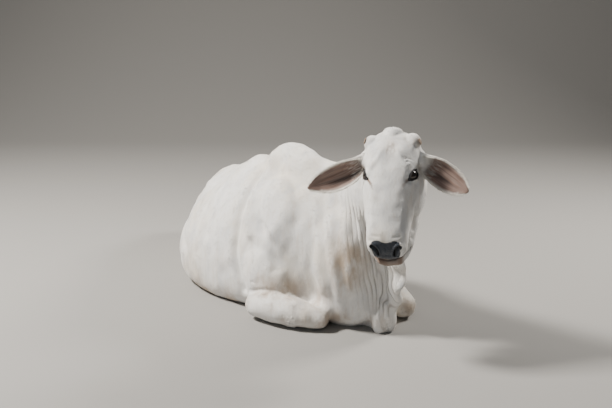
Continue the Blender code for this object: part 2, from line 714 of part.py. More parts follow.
def prism(outline, half, matrix, by, where):
    """A convex outline in y and z, carried along x, grown by a small distance."""
    flat = np.array(outline, float)
    middle = flat.mean(0)
    ahead, back = np.roll(flat, -1, 0) - flat, flat - np.roll(flat, 1, 0)
    normals = unit(np.stack([ahead[:, 1], -ahead[:, 0]], 1)) + unit(np.stack([back[:, 1], -back[:, 0]], 1))
    normals = unit(normals)
    normals *= np.sign(np.sum(normals * (flat - middle), axis=1))[:, None]
    flat = flat + normals * by
    bm = bmesh.new()
    ends = [[bm.verts.new((x, y, z)) for y, z in flat] for x in (-half - by, half + by)]
    bm.faces.new(ends[0])
    bm.faces.new(ends[1][::-1])
    for i in range(len(flat)):
        j = (i + 1) % len(flat)
        bm.faces.new((ends[0][i], ends[1][i], ends[1][j], ends[0][j]))
    mesh = bpy.data.meshes.new("block")
    bm.to_mesh(mesh)
    bm.free()
    obj = bpy.data.objects.new("block", mesh)
    where.objects.link(obj)
    mesh.transform(matrix)
    facing_out(obj)
    return obj


# tail and its locks: path of the bone
TAIL = (
    (0.305, 1.066, 0.300, 0.016, 0.016),
    (0.318, 1.085, 0.220, 0.015, 0.015),
    (0.345, 1.095, 0.120, 0.013, 0.013),
    (0.395, 1.090, 0.040, 0.012, 0.012),
    (0.470, 1.060, 0.010, 0.011, 0.011),
    (0.530, 1.020, 0.008, 0.009, 0.009),
)
LOCKS = 9
LOCK_ROOT = (0.518, 1.029, 0.0095)
LOCK_HEADING = -0.62


def locks(where):
    """Flat tapered locks that fan out over the floor from the end of the tail."""
    made = []
    for i in range(LOCKS):
        spread = (i / (LOCKS - 1) - 0.5) * 2
        turn = spread * 0.36
        length = 0.17 - 0.035 * abs(spread) + 0.012 * math.sin(i * 2.3)
        direction = Vector((math.cos(LOCK_HEADING + turn), math.sin(LOCK_HEADING + turn), 0))
        wide = Vector((-direction.y, direction.x, 0))
        base = Vector(LOCK_ROOT) + wide * spread * 0.006
        rows = []
        for t, half, thick in ((0.0, 0.006, 0.006), (0.25, 0.012, 0.010), (0.55, 0.013, 0.009),
                               (0.85, 0.007, 0.006), (1.0, 0.002, 0.002)):
            bend = wide * (0.010 * math.sin(t * 3 + i) + spread * 0.012 * t * t)
            p = base + direction * t * length + bend
            rows.append((p.x, p.y, LOCK_ROOT[2] - 0.005 * t, half, thick))
        made.append(add("lock", *loft(simple(rows), ring=6, per=1, cap=0.3, cap_rings=1), where))
    return made


def united(name, objects, where):
    """One closed surface from closed solids, with exact Booleans."""
    result = copied(objects[0], name, where)
    for other in objects[1:]:
        boolean(result, other, "UNION")
    return largest(result)


def around(names, margin, where):
    """Makes a cutter around some of the limbs."""
    def make(by):
        solids = []
        for name in names:
            rows = [(*row[:3], row[3] + margin + by, row[4] + margin + by) for row in LIMBS[name]]
            solids.append(add("around", *loft(simple(rows), ring=12, per=1, cap=0.9, cap_rings=2), where))
        return united("around", solids, where)
    return make


# hooves: end of the limb, heading, up
HOOVES = {
    "hoof_front_right": ("cannon_right", (0, 0, 1)),
    "hoof_front_left": ("cannon_left", (0, 0, 1)),
    "hoof_hind_left": ("hind_cannon_left", (0, 0, 1)),
    "hoof_hind_right": ("hind_cannon_right", (0, 0, 1)),
}

# nodes cut out of the body by blocks: outline in y and z, half width, in the order of cutting
BLOCKS = (
    ("dewlap", ((-0.90, -0.10), (-0.90, 0.74), (-0.62, 0.62), (-0.50, 0.40), (-0.47, -0.10)), 0.6),
    ("neck", ((-1.10, 1.10), (-0.50, 1.10), (-0.14, 0.80), (-0.32, 0.36), (-0.42, 0.20), (-0.47, -0.10),
              (-0.60, -0.10)), 0.6),
)


def build():
    main, cutters = fresh()
    body = flesh(cutters)
    solids = skull(cutters)
    whole = fused(joined("whole", [body] + solids, cutters), FINE_VOXEL, 4)
    carved_head(whole)

    # the head is kept finer than the body
    fine = thinned(copied(whole, "fine", cutters), WHOLE_TRIANGLES_FOR_HEAD)
    torso = thinned(copied(whole, "torso", main), BODY_TRIANGLES)
    place = head_matrix()
    inner = prism(HEAD_BLOCK, 0.25, place, 0.0, cutters)
    outer = prism(HEAD_BLOCK, 0.25, place, GAP, cutters)
    head = copied(fine, "head", main)
    largest(boolean(head, inner, "INTERSECT"))
    largest(boolean(torso, outer, "DIFFERENCE"))

    # everything that touches the floor is cut flat at z = 0
    bottom = box((-2, -2, -1), (2, 2, 0), cutters)
    largest(boolean(torso, bottom, "DIFFERENCE"))

    # limbs, hump, neck and dewlap
    nodes = {"head": head, "torso": torso}
    for name, limbs, margin in (("foreleg_right", ("forearm_right", "cannon_right"), 0.010),
                                ("foreleg_left", ("forearm_left", "cannon_left"), 0.010),
                                ("hindleg_left", ("shank_left", "hind_cannon_left"), 0.010),
                                ("hindleg_right", ("hind_cannon_right",), 0.010)):
        nodes[name] = taken(torso, name, around(limbs, margin, cutters), main)

    def hump_block(by):
        return ball("hump", (0.004, -0.035, 0.63), (0.118 + by, 0.235 + by, 0.150 + by), (-3, 0, 0), cutters, 20, 12)

    nodes["hump"] = taken(torso, "hump", hump_block, main)
    for name, outline, half in BLOCKS:
        nodes[name] = taken(torso, name, lambda by: prism(outline, half, Matrix(), by, cutters), main)

    # eyes in sockets under an almond slit
    for name, side in (("left", 1), ("right", -1)):
        centre = eye_centre(side)
        reach = EYE_RADIUS + GAP
        socket = ball("socket", centre, (reach, reach, reach), (0, 0, 0), cutters, 16, 10)
        largest(boolean(head, slit_cutter(side, cutters), "DIFFERENCE"))
        largest(boolean(head, socket, "DIFFERENCE"))
        eye = ball("eye_" + name, centre, (EYE_RADIUS,) * 3, (0, 0, 0), main, 16, 10)
        nodes["eye_" + name] = eye

    # ears and horn buds are set into the head
    for name, side in (("left", 1), ("right", -1)):
        nodes["ear_" + name] = ear(name, side, 0.0, main)
        largest(boolean(head, ear(name, side, 2 * GAP, cutters), "DIFFERENCE"))
        centre = place @ Vector((BUD[0] * side, *BUD[1:]))
        nodes["horn_bud_" + name] = ball("bud", centre, (BUD_RADIUS,) * 3, (0, 0, 0), main, 12, 8)
        reach = BUD_RADIUS + 2 * GAP
        largest(boolean(head, ball("bud", centre, (reach,) * 3, (0, 0, 0), cutters, 12, 8), "DIFFERENCE"))

    # hooves at the ends of the folded limbs
    for name, (limb, up) in HOOVES.items():
        a, b = Vector(LIMBS[limb][-2][:3]), Vector(LIMBS[limb][-1][:3])
        direction = b - a
        direction.z = 0
        start = b + direction.normalized() * 0.012
        pair = united(name, claws(name, start, direction, up, 0.0, cutters), main)
        nodes[name] = largest(boolean(pair, bottom, "DIFFERENCE"))
        pocket = united("pocket", claws(name, start, direction, up, 3 * GAP, cutters), cutters)
        leg = ("foreleg_" if "front" in name else "hindleg_") + name.split("_")[-1]
        largest(boolean(nodes[leg], pocket, "DIFFERENCE"))
        largest(boolean(torso, pocket, "DIFFERENCE"))

    # tail and switch
    tail = add("tail", *loft(simple(TAIL), ring=10, per=3, cap=0.5, cap_rings=1), main)
    nodes["tail"] = largest(boolean(tail, bottom, "DIFFERENCE"))
    grown = [(*row[:3], row[3] + 2 * GAP, row[4] + 2 * GAP) for row in TAIL]
    channel = add("channel", *loft(simple(grown), ring=10, per=3, cap=0.55, cap_rings=1), cutters)
    largest(boolean(torso, channel, "DIFFERENCE"))
    switch = united("tail_switch", locks(cutters), main)
    boolean(switch, bottom, "DIFFERENCE")
    nodes["tail_switch"] = largest(boolean(switch, channel, "DIFFERENCE"))

    centred(main)
    hide_cutters(cutters)
    for name, obj in nodes.items():
        tidied(obj)
        obj.name = name
        obj.data.name = name
        colour, roughness = COLOURS.get(name.split("_")[0], COLOURS["coat"])
        if name == "tail_switch":
            colour, roughness = COLOURS["switch"]
        painted(obj, name, colour, roughness)
    return main, cutters, nodes


COLOURS = {
    "coat": ((0.80, 0.77, 0.72), 0.7),
    "ear": ((0.62, 0.50, 0.44), 0.7),
    "eye": ((0.020, 0.014, 0.012), 0.15),
    "horn": ((0.45, 0.38, 0.32), 0.6),
    "hoof": ((0.050, 0.045, 0.042), 0.5),
    "switch": ((0.030, 0.026, 0.024), 0.6),
}


def centred(main):
    """Puts the origin under the middle of the whole."""
    low, high = np.full(3, 1e9), np.full(3, -1e9)
    for obj in main.objects:
        points, _ = vertices(obj)
        low, high = np.minimum(low, points.min(0)), np.maximum(high, points.max(0))
    shift = Vector((-(low[0] + high[0]) / 2, -(low[1] + high[1]) / 2, 0))
    for obj in main.objects:
        obj.data.transform(Matrix.Translation(shift))
        obj.data.update()


if __name__ == "__main__":
    build()
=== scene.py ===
# %% [markdown]
# # A white zebu cow at rest
#
# This lesson grows a lying cow from a handful of tables. Each table row is a slice through a form:
# a point on the form's path and how far the slice reaches to each side. Numpy turns rows into
# surfaces, one voxel remesh runs the surfaces together, and formulas press folds, lids and nostrils
# into the result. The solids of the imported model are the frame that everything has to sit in.
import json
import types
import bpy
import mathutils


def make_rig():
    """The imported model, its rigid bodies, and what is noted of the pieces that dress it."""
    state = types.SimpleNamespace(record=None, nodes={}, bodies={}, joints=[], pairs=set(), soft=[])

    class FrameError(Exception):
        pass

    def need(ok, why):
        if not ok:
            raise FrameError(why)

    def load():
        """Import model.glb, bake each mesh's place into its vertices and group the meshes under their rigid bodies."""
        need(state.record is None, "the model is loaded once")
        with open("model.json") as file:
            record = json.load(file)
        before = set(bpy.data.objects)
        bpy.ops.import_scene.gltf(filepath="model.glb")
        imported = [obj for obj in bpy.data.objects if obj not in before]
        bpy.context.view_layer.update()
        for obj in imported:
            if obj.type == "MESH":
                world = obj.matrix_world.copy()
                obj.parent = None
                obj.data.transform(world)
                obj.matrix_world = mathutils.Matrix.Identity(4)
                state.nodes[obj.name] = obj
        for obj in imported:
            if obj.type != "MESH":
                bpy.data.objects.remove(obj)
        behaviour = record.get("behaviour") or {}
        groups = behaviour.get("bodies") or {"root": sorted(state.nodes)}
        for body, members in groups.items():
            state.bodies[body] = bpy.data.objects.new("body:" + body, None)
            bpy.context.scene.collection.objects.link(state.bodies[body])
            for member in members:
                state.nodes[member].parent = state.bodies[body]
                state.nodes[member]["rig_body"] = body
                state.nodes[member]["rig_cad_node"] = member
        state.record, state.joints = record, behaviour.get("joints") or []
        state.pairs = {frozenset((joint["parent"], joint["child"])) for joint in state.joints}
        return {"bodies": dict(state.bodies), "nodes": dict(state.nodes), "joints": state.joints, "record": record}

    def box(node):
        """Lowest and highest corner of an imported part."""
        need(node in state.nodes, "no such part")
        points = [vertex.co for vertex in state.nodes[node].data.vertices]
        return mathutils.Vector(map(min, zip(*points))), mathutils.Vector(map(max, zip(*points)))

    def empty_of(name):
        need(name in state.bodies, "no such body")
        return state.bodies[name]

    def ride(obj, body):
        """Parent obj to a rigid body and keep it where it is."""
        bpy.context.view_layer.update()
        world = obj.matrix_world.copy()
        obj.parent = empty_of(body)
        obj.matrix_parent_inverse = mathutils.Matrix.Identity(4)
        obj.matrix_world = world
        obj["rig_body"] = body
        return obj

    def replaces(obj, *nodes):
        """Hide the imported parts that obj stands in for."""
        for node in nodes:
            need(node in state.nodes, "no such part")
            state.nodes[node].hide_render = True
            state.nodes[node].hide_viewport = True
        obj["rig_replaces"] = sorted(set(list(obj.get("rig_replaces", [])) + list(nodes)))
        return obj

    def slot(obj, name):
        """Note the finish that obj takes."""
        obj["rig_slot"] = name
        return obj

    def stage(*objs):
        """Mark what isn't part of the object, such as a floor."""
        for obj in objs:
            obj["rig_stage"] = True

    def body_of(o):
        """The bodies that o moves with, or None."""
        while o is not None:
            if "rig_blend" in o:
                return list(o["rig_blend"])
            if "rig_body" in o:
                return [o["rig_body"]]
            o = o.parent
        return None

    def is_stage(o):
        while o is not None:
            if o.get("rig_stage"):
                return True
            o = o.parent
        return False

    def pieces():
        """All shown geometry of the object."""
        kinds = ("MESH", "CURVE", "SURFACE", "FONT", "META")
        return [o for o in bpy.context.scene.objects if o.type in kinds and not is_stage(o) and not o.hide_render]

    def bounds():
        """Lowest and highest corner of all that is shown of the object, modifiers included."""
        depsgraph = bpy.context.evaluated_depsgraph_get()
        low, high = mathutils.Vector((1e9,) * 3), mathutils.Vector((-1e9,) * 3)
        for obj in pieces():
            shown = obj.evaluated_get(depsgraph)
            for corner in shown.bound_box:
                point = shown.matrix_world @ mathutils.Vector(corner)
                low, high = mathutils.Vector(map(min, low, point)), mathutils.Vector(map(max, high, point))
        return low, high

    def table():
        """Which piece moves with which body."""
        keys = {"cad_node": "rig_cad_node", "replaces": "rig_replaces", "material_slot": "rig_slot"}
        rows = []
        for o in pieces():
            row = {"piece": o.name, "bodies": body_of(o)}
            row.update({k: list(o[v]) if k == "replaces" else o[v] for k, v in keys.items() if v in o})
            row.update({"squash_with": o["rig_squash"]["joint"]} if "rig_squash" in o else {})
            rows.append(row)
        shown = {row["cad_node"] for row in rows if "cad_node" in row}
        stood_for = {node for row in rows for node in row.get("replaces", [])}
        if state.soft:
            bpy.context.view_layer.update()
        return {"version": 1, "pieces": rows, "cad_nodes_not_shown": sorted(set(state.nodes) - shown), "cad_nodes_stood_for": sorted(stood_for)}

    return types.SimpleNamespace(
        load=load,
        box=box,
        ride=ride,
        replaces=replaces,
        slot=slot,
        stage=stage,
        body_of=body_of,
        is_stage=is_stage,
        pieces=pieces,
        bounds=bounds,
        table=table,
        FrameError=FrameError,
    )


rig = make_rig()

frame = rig.load()
cad_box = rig.bounds()

import json
import math

import bmesh
import bpy
import numpy as np
from mathutils import Matrix, Vector
from mathutils.bvhtree import BVHTree

print("bodies", list(frame["bodies"]), "nodes", len(frame["nodes"]))
print("model box", [[round(float(v), 3) for v in corner] for corner in cad_box])

# %% [markdown]
# ## Sizes
#
# A lying cow has no straight edge to measure from, so everything is set out from one point on the floor
# under the top of its hump. It faces -Y and its right side is -X. The head has axes of its own, because
# it is turned and tipped: a lid or a nostril is far easier to place when the face is straight. `SHIFT`
# carries the layout to the frame: it is the distance from where the left eye is laid out to where the
# frame has it. The eye is small and round, so the middle of its box is a sharp mark.

# %% Sizes of the head and where it is
HEAD_YAW = 51.0  # degrees, nose turned from -Y towards -X
HEAD_DROP = 64.0  # degrees, face line below level
HEAD_ROLL = 2.5  # degrees, muzzle swung to its left
POLL = np.array((0.014, -0.678, 0.902))
EYE = (0.0780, -0.032, 0.186)
EYE_RADIUS = 0.0265


def head_axes():
    """Rows are the head's own axes: to its left, out of the face, from poll to muzzle."""
    yaw, drop = np.radians(HEAD_YAW), np.radians(HEAD_DROP)
    level = np.array((-np.sin(yaw), -np.cos(yaw), 0.0))
    along = level * np.cos(drop) - np.array((0.0, 0.0, np.sin(drop)))
    side = np.cross((0.0, 0.0, 1.0), level)
    face = np.cross(along, side)
    cos, sin = np.cos(np.radians(HEAD_ROLL)), np.sin(np.radians(HEAD_ROLL))
    return np.stack((side * cos - along * sin, face, along * cos + side * sin))


AXES = head_axes()


def from_head(points):
    """Head coordinates h to layout coordinates: p = POLL + h @ AXES."""
    return POLL + np.asarray(points, float) @ AXES


def to_head(points):
    """The inverse of from_head: the axes are at right angles, so their inverse is their transpose."""
    return (np.asarray(points, float) - POLL) @ AXES.T


eye_box = np.array(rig.box("eye_left"), float)
SHIFT = eye_box.mean(axis=0) - from_head(EYE)
print("shift", SHIFT.round(4))

# %% [markdown]
# ## The animal as tables
#
# A body could be sculpted by hand, but then nothing in it could be measured or changed by a number.
# Here every form is a few rows: slices for what is long, such as the trunk, neck and legs, and balls for
# what bulges, such as the hump, shoulder and thigh. Rows lie where the outline turns, and a curve
# through them does the rest.

# %% Tables of the body
# trunk: y, spine x, top, bottom, left, right, widest height, top power, bottom power, roll
TRUNK = (
    (-0.44, 0.070, 0.44, 0.100, 0.070, 0.070, 0.260, 2.00, 2.0, 0),
    (-0.36, 0.060, 0.56, 0.020, 0.150, 0.150, 0.280, 2.00, 2.2, 0),
    (-0.22, 0.030, 0.64, -0.040, 0.205, 0.205, 0.300, 2.00, 2.5, 0),
    (-0.08, 0.010, 0.67, -0.040, 0.240, 0.240, 0.270, 1.90, 2.8, 0),
    (0.08, 0.000, 0.672, -0.040, 0.275, 0.310, 0.200, 1.75, 3.4, 0),
    (0.22, 0.015, 0.645, -0.040, 0.315, 0.372, 0.165, 1.60, 3.6, 0),
    (0.36, 0.045, 0.603, -0.040, 0.345, 0.395, 0.160, 1.55, 3.6, 1),
    (0.50, 0.080, 0.556, -0.040, 0.345, 0.375, 0.160, 1.55, 3.4, 3),
    (0.64, 0.130, 0.522, -0.040, 0.315, 0.315, 0.170, 1.65, 3.0, 6),
    (0.78, 0.190, 0.495, -0.030, 0.265, 0.250, 0.180, 1.75, 2.6, 8),
    (0.90, 0.240, 0.450, 0.000, 0.205, 0.185, 0.190, 1.80, 2.3, 8),
    (0.99, 0.285, 0.385, 0.050, 0.140, 0.120, 0.200, 2.00, 2.0, 6),
)
# path point, half widths (left, right, top, bottom)
NECK = (
    (0.025, -0.10, 0.440, 0.175, 0.175, 0.235, 0.260),
    (0.055, -0.26, 0.470, 0.140, 0.140, 0.235, 0.250),
    (0.075, -0.40, 0.545, 0.105, 0.105, 0.175, 0.190),
    (0.072, -0.52, 0.640, 0.088, 0.088, 0.125, 0.140),
    (0.055, -0.61, 0.725, 0.080, 0.080, 0.100, 0.110),
    (0.045, -0.66, 0.780, 0.075, 0.075, 0.080, 0.090),
)
DEWLAP = (
    (0.112, -0.51, -0.04, 0.045, 0.045, 0.045, 0.160),
    (0.112, -0.51, 0.05, 0.045, 0.045, 0.080, 0.180),
    (0.114, -0.53, 0.16, 0.038, 0.038, 0.120, 0.180),
    (0.116, -0.54, 0.27, 0.032, 0.032, 0.130, 0.170),
    (0.116, -0.56, 0.38, 0.028, 0.028, 0.120, 0.150),
    (0.105, -0.60, 0.50, 0.026, 0.026, 0.090, 0.120),
    (0.070, -0.65, 0.60, 0.026, 0.026, 0.055, 0.080),
)
# balls: centre, radii, turn about x, y and z in degrees
BALLS = {
    "hump": ((0.004, -0.035, 0.60), (0.095, 0.225, 0.144), (-3, 0, 0)),
    "brisket": ((0.055, -0.34, 0.13), (0.158, 0.205, 0.17), (0, 0, 0)),
    "shoulder_right": ((-0.155, -0.07, 0.35), (0.095, 0.19, 0.27), (18, 8, 6)),
    "shoulder_left": ((0.175, -0.09, 0.35), (0.095, 0.19, 0.27), (18, -8, -6)),
    "arm_right": ((-0.203, -0.115, 0.165), (0.088, 0.145, 0.170), (-22, 0, 8)),
    "neck_base": ((0.030, -0.37, 0.29), (0.158, 0.185, 0.27), (0, 0, 0)),
    "lobe_right": ((0.066, -0.572, 0.058), (0.035, 0.036, 0.078), (0, 0, 0)),
    "lobe_left": ((0.112, -0.590, 0.060), (0.030, 0.034, 0.070), (0, 0, 0)),
    "arm_left": ((0.245, -0.16, 0.20), (0.085, 0.13, 0.17), (-30, 0, -8)),
    "thigh_right": ((0.00, 0.60, 0.15), (0.23, 0.24, 0.17), (0, 0, -20)),
    "thigh_left": ((0.36, 0.70, 0.22), (0.15, 0.27, 0.20), (0, 0, -12)),
    "hook_right": ((-0.03, 0.655, 0.415), (0.05, 0.07, 0.04), (0, 0, 0)),
    "hook_left": ((0.280, 0.62, 0.438), (0.07, 0.10, 0.05), (0, 20, 0)),
    "pin_left": ((0.345, 0.96, 0.330), (0.05, 0.06, 0.05), (0, 0, 0)),
    "pin_right": ((0.235, 1.00, 0.300), (0.05, 0.06, 0.05), (0, 0, 0)),
}
# limbs: path point, half width, half height
LIMBS = {
    "forearm_right": (
        (-0.262, -0.120, 0.062, 0.072, 0.060), (-0.240, -0.210, 0.070, 0.074, 0.068),
        (-0.198, -0.298, 0.067, 0.069, 0.067), (-0.148, -0.366, 0.056, 0.060, 0.054),
        (-0.106, -0.408, 0.047, 0.050, 0.045)),
    "cannon_right": (
        (-0.108, -0.400, 0.044, 0.038, 0.036), (-0.150, -0.345, 0.038, 0.033, 0.033),
        (-0.184, -0.285, 0.034, 0.028, 0.030), (-0.202, -0.228, 0.034, 0.031, 0.032),
        (-0.202, -0.188, 0.033, 0.027, 0.029)),
    "forearm_left": (
        (0.285, -0.160, 0.115, 0.070, 0.085), (0.288, -0.270, 0.106, 0.068, 0.080),
        (0.280, -0.380, 0.090, 0.060, 0.068), (0.262, -0.475, 0.070, 0.058, 0.060),
        (0.248, -0.530, 0.058, 0.058, 0.056)),
    "cannon_left": (
        (0.262, -0.53, 0.050, 0.040, 0.040), (0.315, -0.475, 0.032, 0.028, 0.030),
        (0.345, -0.400, 0.028, 0.024, 0.026), (0.362, -0.330, 0.030, 0.030, 0.030),
        (0.368, -0.285, 0.032, 0.026, 0.028)),
    "shank_left": (
        (0.43, 0.50, 0.19, 0.090, 0.120), (0.49, 0.58, 0.15, 0.075, 0.105),
        (0.53, 0.70, 0.10, 0.052, 0.075), (0.545, 0.80, 0.070, 0.040, 0.056)),
    "hind_cannon_left": (
        (0.545, 0.83, 0.058, 0.038, 0.046), (0.572, 0.74, 0.040, 0.030, 0.036),
        (0.595, 0.62, 0.032, 0.026, 0.030), (0.608, 0.54, 0.035, 0.033, 0.034),
        (0.612, 0.50, 0.033, 0.028, 0.030)),
    "hind_cannon_right": (
        (0.26, 0.46, 0.080, 0.080, 0.090), (0.35, 0.385, 0.050, 0.044, 0.052),
        (0.43, 0.325, 0.036, 0.028, 0.032), (0.49, 0.285, 0.036, 0.033, 0.034),
        (0.525, 0.262, 0.033, 0.028, 0.030)),
    "tail_root": (
        (0.285, 0.98, 0.385, 0.030, 0.030), (0.300, 1.04, 0.350, 0.024, 0.024),
        (0.305, 1.075, 0.290, 0.019, 0.019)),
    "tail": (
        (0.305, 1.066, 0.300, 0.016, 0.016), (0.318, 1.085, 0.220, 0.015, 0.015),
        (0.345, 1.095, 0.120, 0.013, 0.013), (0.395, 1.090, 0.040, 0.012, 0.012),
        (0.470, 1.060, 0.012, 0.010, 0.010), (0.527, 1.022, 0.011, 0.008, 0.008)),
}

# %% Tables of the head, in its own axes
# along, forehead line, lower line, half width, top power, bottom power
SKULL = (
    (0.028, -0.040, -0.130, 0.080, 2.4, 2.2), (0.056, -0.012, -0.150, 0.102, 2.5, 2.2),
    (0.090, 0.008, -0.165, 0.108, 2.6, 2.0), (0.150, 0.016, -0.172, 0.108, 2.6, 1.9),
    (0.220, 0.017, -0.168, 0.104, 2.5, 1.9), (0.290, 0.012, -0.152, 0.098, 2.3, 1.9),
    (0.350, 0.004, -0.134, 0.090, 2.3, 2.0), (0.390, -0.002, -0.116, 0.084, 2.4, 2.0),
    (0.420, -0.006, -0.106, 0.082, 2.5, 2.2), (0.444, -0.017, -0.102, 0.080, 2.5, 2.4),
    (0.466, -0.036, -0.100, 0.076, 2.4, 2.4), (0.484, -0.057, -0.098, 0.064, 2.2, 2.3),
)
JAW = (
    (0.110, -0.120, -0.185, 0.078, 2.0, 2.0), (0.175, -0.105, -0.222, 0.098, 2.0, 2.0),
    (0.240, -0.092, -0.218, 0.104, 2.0, 2.0), (0.310, -0.086, -0.192, 0.103, 2.1, 2.0),
    (0.380, -0.080, -0.166, 0.097, 2.1, 2.0), (0.440, -0.080, -0.152, 0.087, 2.1, 2.0),
    (0.480, -0.086, -0.148, 0.072, 2.2, 2.1), (0.508, -0.094, -0.138, 0.052, 2.2, 2.1),
)
JAW_ASIDE = 0.007  # the jaw is a little to its left, as in chewing
# balls of the head: centre, radii
HEAD_BALLS = (
    ((0.0, -0.064, 0.058), (0.100, 0.056, 0.050)),
    ((0.070, -0.040, 0.186), (0.036, 0.042, 0.050)),
    ((-0.070, -0.040, 0.186), (0.036, 0.042, 0.050)),
    ((0.074, -0.118, 0.215), (0.060, 0.085, 0.125)),
    ((-0.064, -0.125, 0.225), (0.056, 0.085, 0.120)),
    ((0.045, -0.048, 0.448), (0.031, 0.028, 0.032)),
    ((-0.045, -0.048, 0.448), (0.031, 0.028, 0.032)),
    ((0.0, -0.052, 0.027), (0.039, 0.040, 0.043)),
    ((0.076, -0.052, 0.050), (0.036, 0.036, 0.037)),
    ((-0.079, -0.054, 0.058), (0.034, 0.036, 0.036)),
    ((0.098, -0.082, 0.112), (0.036, 0.034, 0.044)),
    ((-0.098, -0.082, 0.116), (0.036, 0.034, 0.044)),
)
print(len(TRUNK) + len(NECK) + len(DEWLAP), "slices of the body,", len(SKULL) + len(JAW), "of the head")

# %% [markdown]
# ## From rows to surfaces
#
# Metaballs or a skin modifier could make the forms, but neither keeps to given widths. A loft does: it
# sweeps a ring along a path. At each row the ring is a superellipse: with the angle a,
# x = sgn(cos a) |cos a|^(2/n) w and y = sgn(sin a) |sin a|^(2/n) h, where w and h are the half widths
# on the side that the point is on. n = 2 is an ellipse and a higher n is boxier, as the belly is where
# it rests on the ground.


# %% Lofts and balls
def unit(v):
    """Vectors scaled to length one."""
    return v / np.maximum(np.linalg.norm(v, axis=-1, keepdims=True), 1e-12)


def smooth_rows(rows, per):
    """More rows through a table on Catmull-Rom curves:
    p(t) = (2b + (c-a)t + (2a-5b+4c-d)t^2 + (3b-a-3c+d)t^3) / 2 between rows b and c."""
    rows = np.asarray(rows, float)
    ends = np.vstack((2 * rows[0] - rows[1], rows, 2 * rows[-1] - rows[-2]))
    a, b, c, d = (ends[i:len(ends) - 3 + i, None] for i in range(4))
    t = np.linspace(0, 1, per, endpoint=False)[None, :, None]
    curve = 2 * b + (c - a) * t + (2 * a - 5 * b + 4 * c - d) * t**2 + (3 * b - a - 3 * c + d) * t**3
    return np.vstack((0.5 * curve.reshape(-1, rows.shape[1]), rows[-1:]))


def loft(rows, up=(0, 0, 1), ring=48, per=6, cap=0.5, cap_rings=5):
    """A closed skin over rings square to a path: points of shape (rings, ring, 3), first and last
    ring shrunk to the ends. Rows are x, y, z, four half widths, two powers and a roll in degrees."""
    rows = smooth_rows(rows, per)
    centre = rows[:, :3]
    tangent = unit(np.gradient(centre, axis=0))
    side = unit(np.cross(tangent, np.asarray(up, float)))
    lift = np.cross(side, tangent)
    roll = np.radians(rows[:, 9])[:, None]
    side, lift = side * np.cos(roll) + lift * np.sin(roll), lift * np.cos(roll) - side * np.sin(roll)
    angle = np.linspace(0, 2 * np.pi, ring, endpoint=False)
    c, s = np.cos(angle)[None], np.sin(angle)[None]
    power = np.where(s >= 0, rows[:, 7:8], rows[:, 8:9])
    x = np.sign(c) * np.abs(c) ** (2 / power) * np.where(c >= 0, rows[:, 3:4], rows[:, 4:5])
    y = np.sign(s) * np.abs(s) ** (2 / power) * np.where(s >= 0, rows[:, 5:6], rows[:, 6:7])
    rings = centre[:, None] + x[..., None] * side[:, None] + y[..., None] * lift[:, None]
    reach = cap * rows[:, 3:7].mean(1)
    k = np.linspace(0, np.pi / 2, cap_rings + 1)[1:, None, None]
    first = centre[0] + (rings[0] - centre[0]) * np.cos(k) - reach[0] * np.sin(k) * tangent[0]
    last = centre[-1] + (rings[-1] - centre[-1]) * np.cos(k) + reach[-1] * np.sin(k) * tangent[-1]
    return np.concatenate((first[::-1], rings, last))


def ball(centre, radii, turn=(0, 0, 0), across=40, up=24):
    """An ellipsoid as a grid: centre + R (r sin v cos u, r sin v sin u, r cos v)."""
    u = np.linspace(0, 2 * np.pi, across, endpoint=False)[None]
    v = np.linspace(0, np.pi, up)[:, None]
    grid = np.stack((np.sin(v) * np.cos(u), np.sin(v) * np.sin(u), np.cos(v) + 0 * u), -1) * radii
    ax, ay, az = (math.radians(a) for a in turn)
    spin = Matrix.Rotation(az, 3, "Z") @ Matrix.Rotation(ay, 3, "Y") @ Matrix.Rotation(ax, 3, "X")
    return grid @ np.array(spin).T + centre


def simple(rows):
    """Rows of point and half widths, filled up to what loft reads."""
    rows = np.asarray(rows, float)
    half = rows[:, 3:7] if rows.shape[1] == 7 else rows[:, [3, 3, 4, 4]]
    return np.hstack((rows[:, :3], half, np.full((len(rows), 2), 2.0), np.zeros((len(rows), 1))))


print("the neck is", loft(simple(NECK)).shape[0], "rings of", loft(simple(NECK)).shape[1], "points")


# %% Grids into meshes
def grid_faces(count, ring, closed=True):
    """Quads of a grid with the given number of rows and columns, wrapped across when closed."""
    i = np.arange(count - 1)[:, None] * ring
    j = np.arange(ring if closed else ring - 1)[None]
    k = (j + 1) % ring
    return np.stack((i + j, i + ring + j, i + ring + k, i + k), -1).reshape(-1, 4)


def from_arrays(name, points, faces):
    """An object whose mesh has these points and these faces, all with as many corners."""
    mesh = bpy.data.meshes.new(name)
    mesh.vertices.add(len(points))
    mesh.vertices.foreach_set("co", np.ascontiguousarray(points, np.float32).ravel())
    mesh.loops.add(faces.size)
    mesh.loops.foreach_set("vertex_index", faces.ravel().astype(np.int32))
    mesh.polygons.add(len(faces))
    mesh.polygons.foreach_set("loop_start", np.arange(0, faces.size, faces.shape[1], dtype=np.int32))
    mesh.update(calc_edges=True)
    obj = bpy.data.objects.new(name, mesh)
    bpy.context.scene.collection.objects.link(obj)
    return obj


def mesh_object(name, points, faces, merge=0.0):
    """An object from whole arrays, with its doubled end points merged and its faces turned out."""
    obj = from_arrays(name, np.asarray(points, float).reshape(-1, 3), np.asarray(faces))
    mesh = obj.data
    mesh.validate()
    if merge:
        bm = bmesh.new()
        bm.from_mesh(mesh)
        bmesh.ops.remove_doubles(bm, verts=bm.verts, dist=merge)
        bmesh.ops.recalc_face_normals(bm, faces=bm.faces)
        if bm.calc_volume(signed=True) < 0:
            bmesh.ops.reverse_faces(bm, faces=bm.faces)
        bm.to_mesh(mesh)
        bm.free()
    return obj


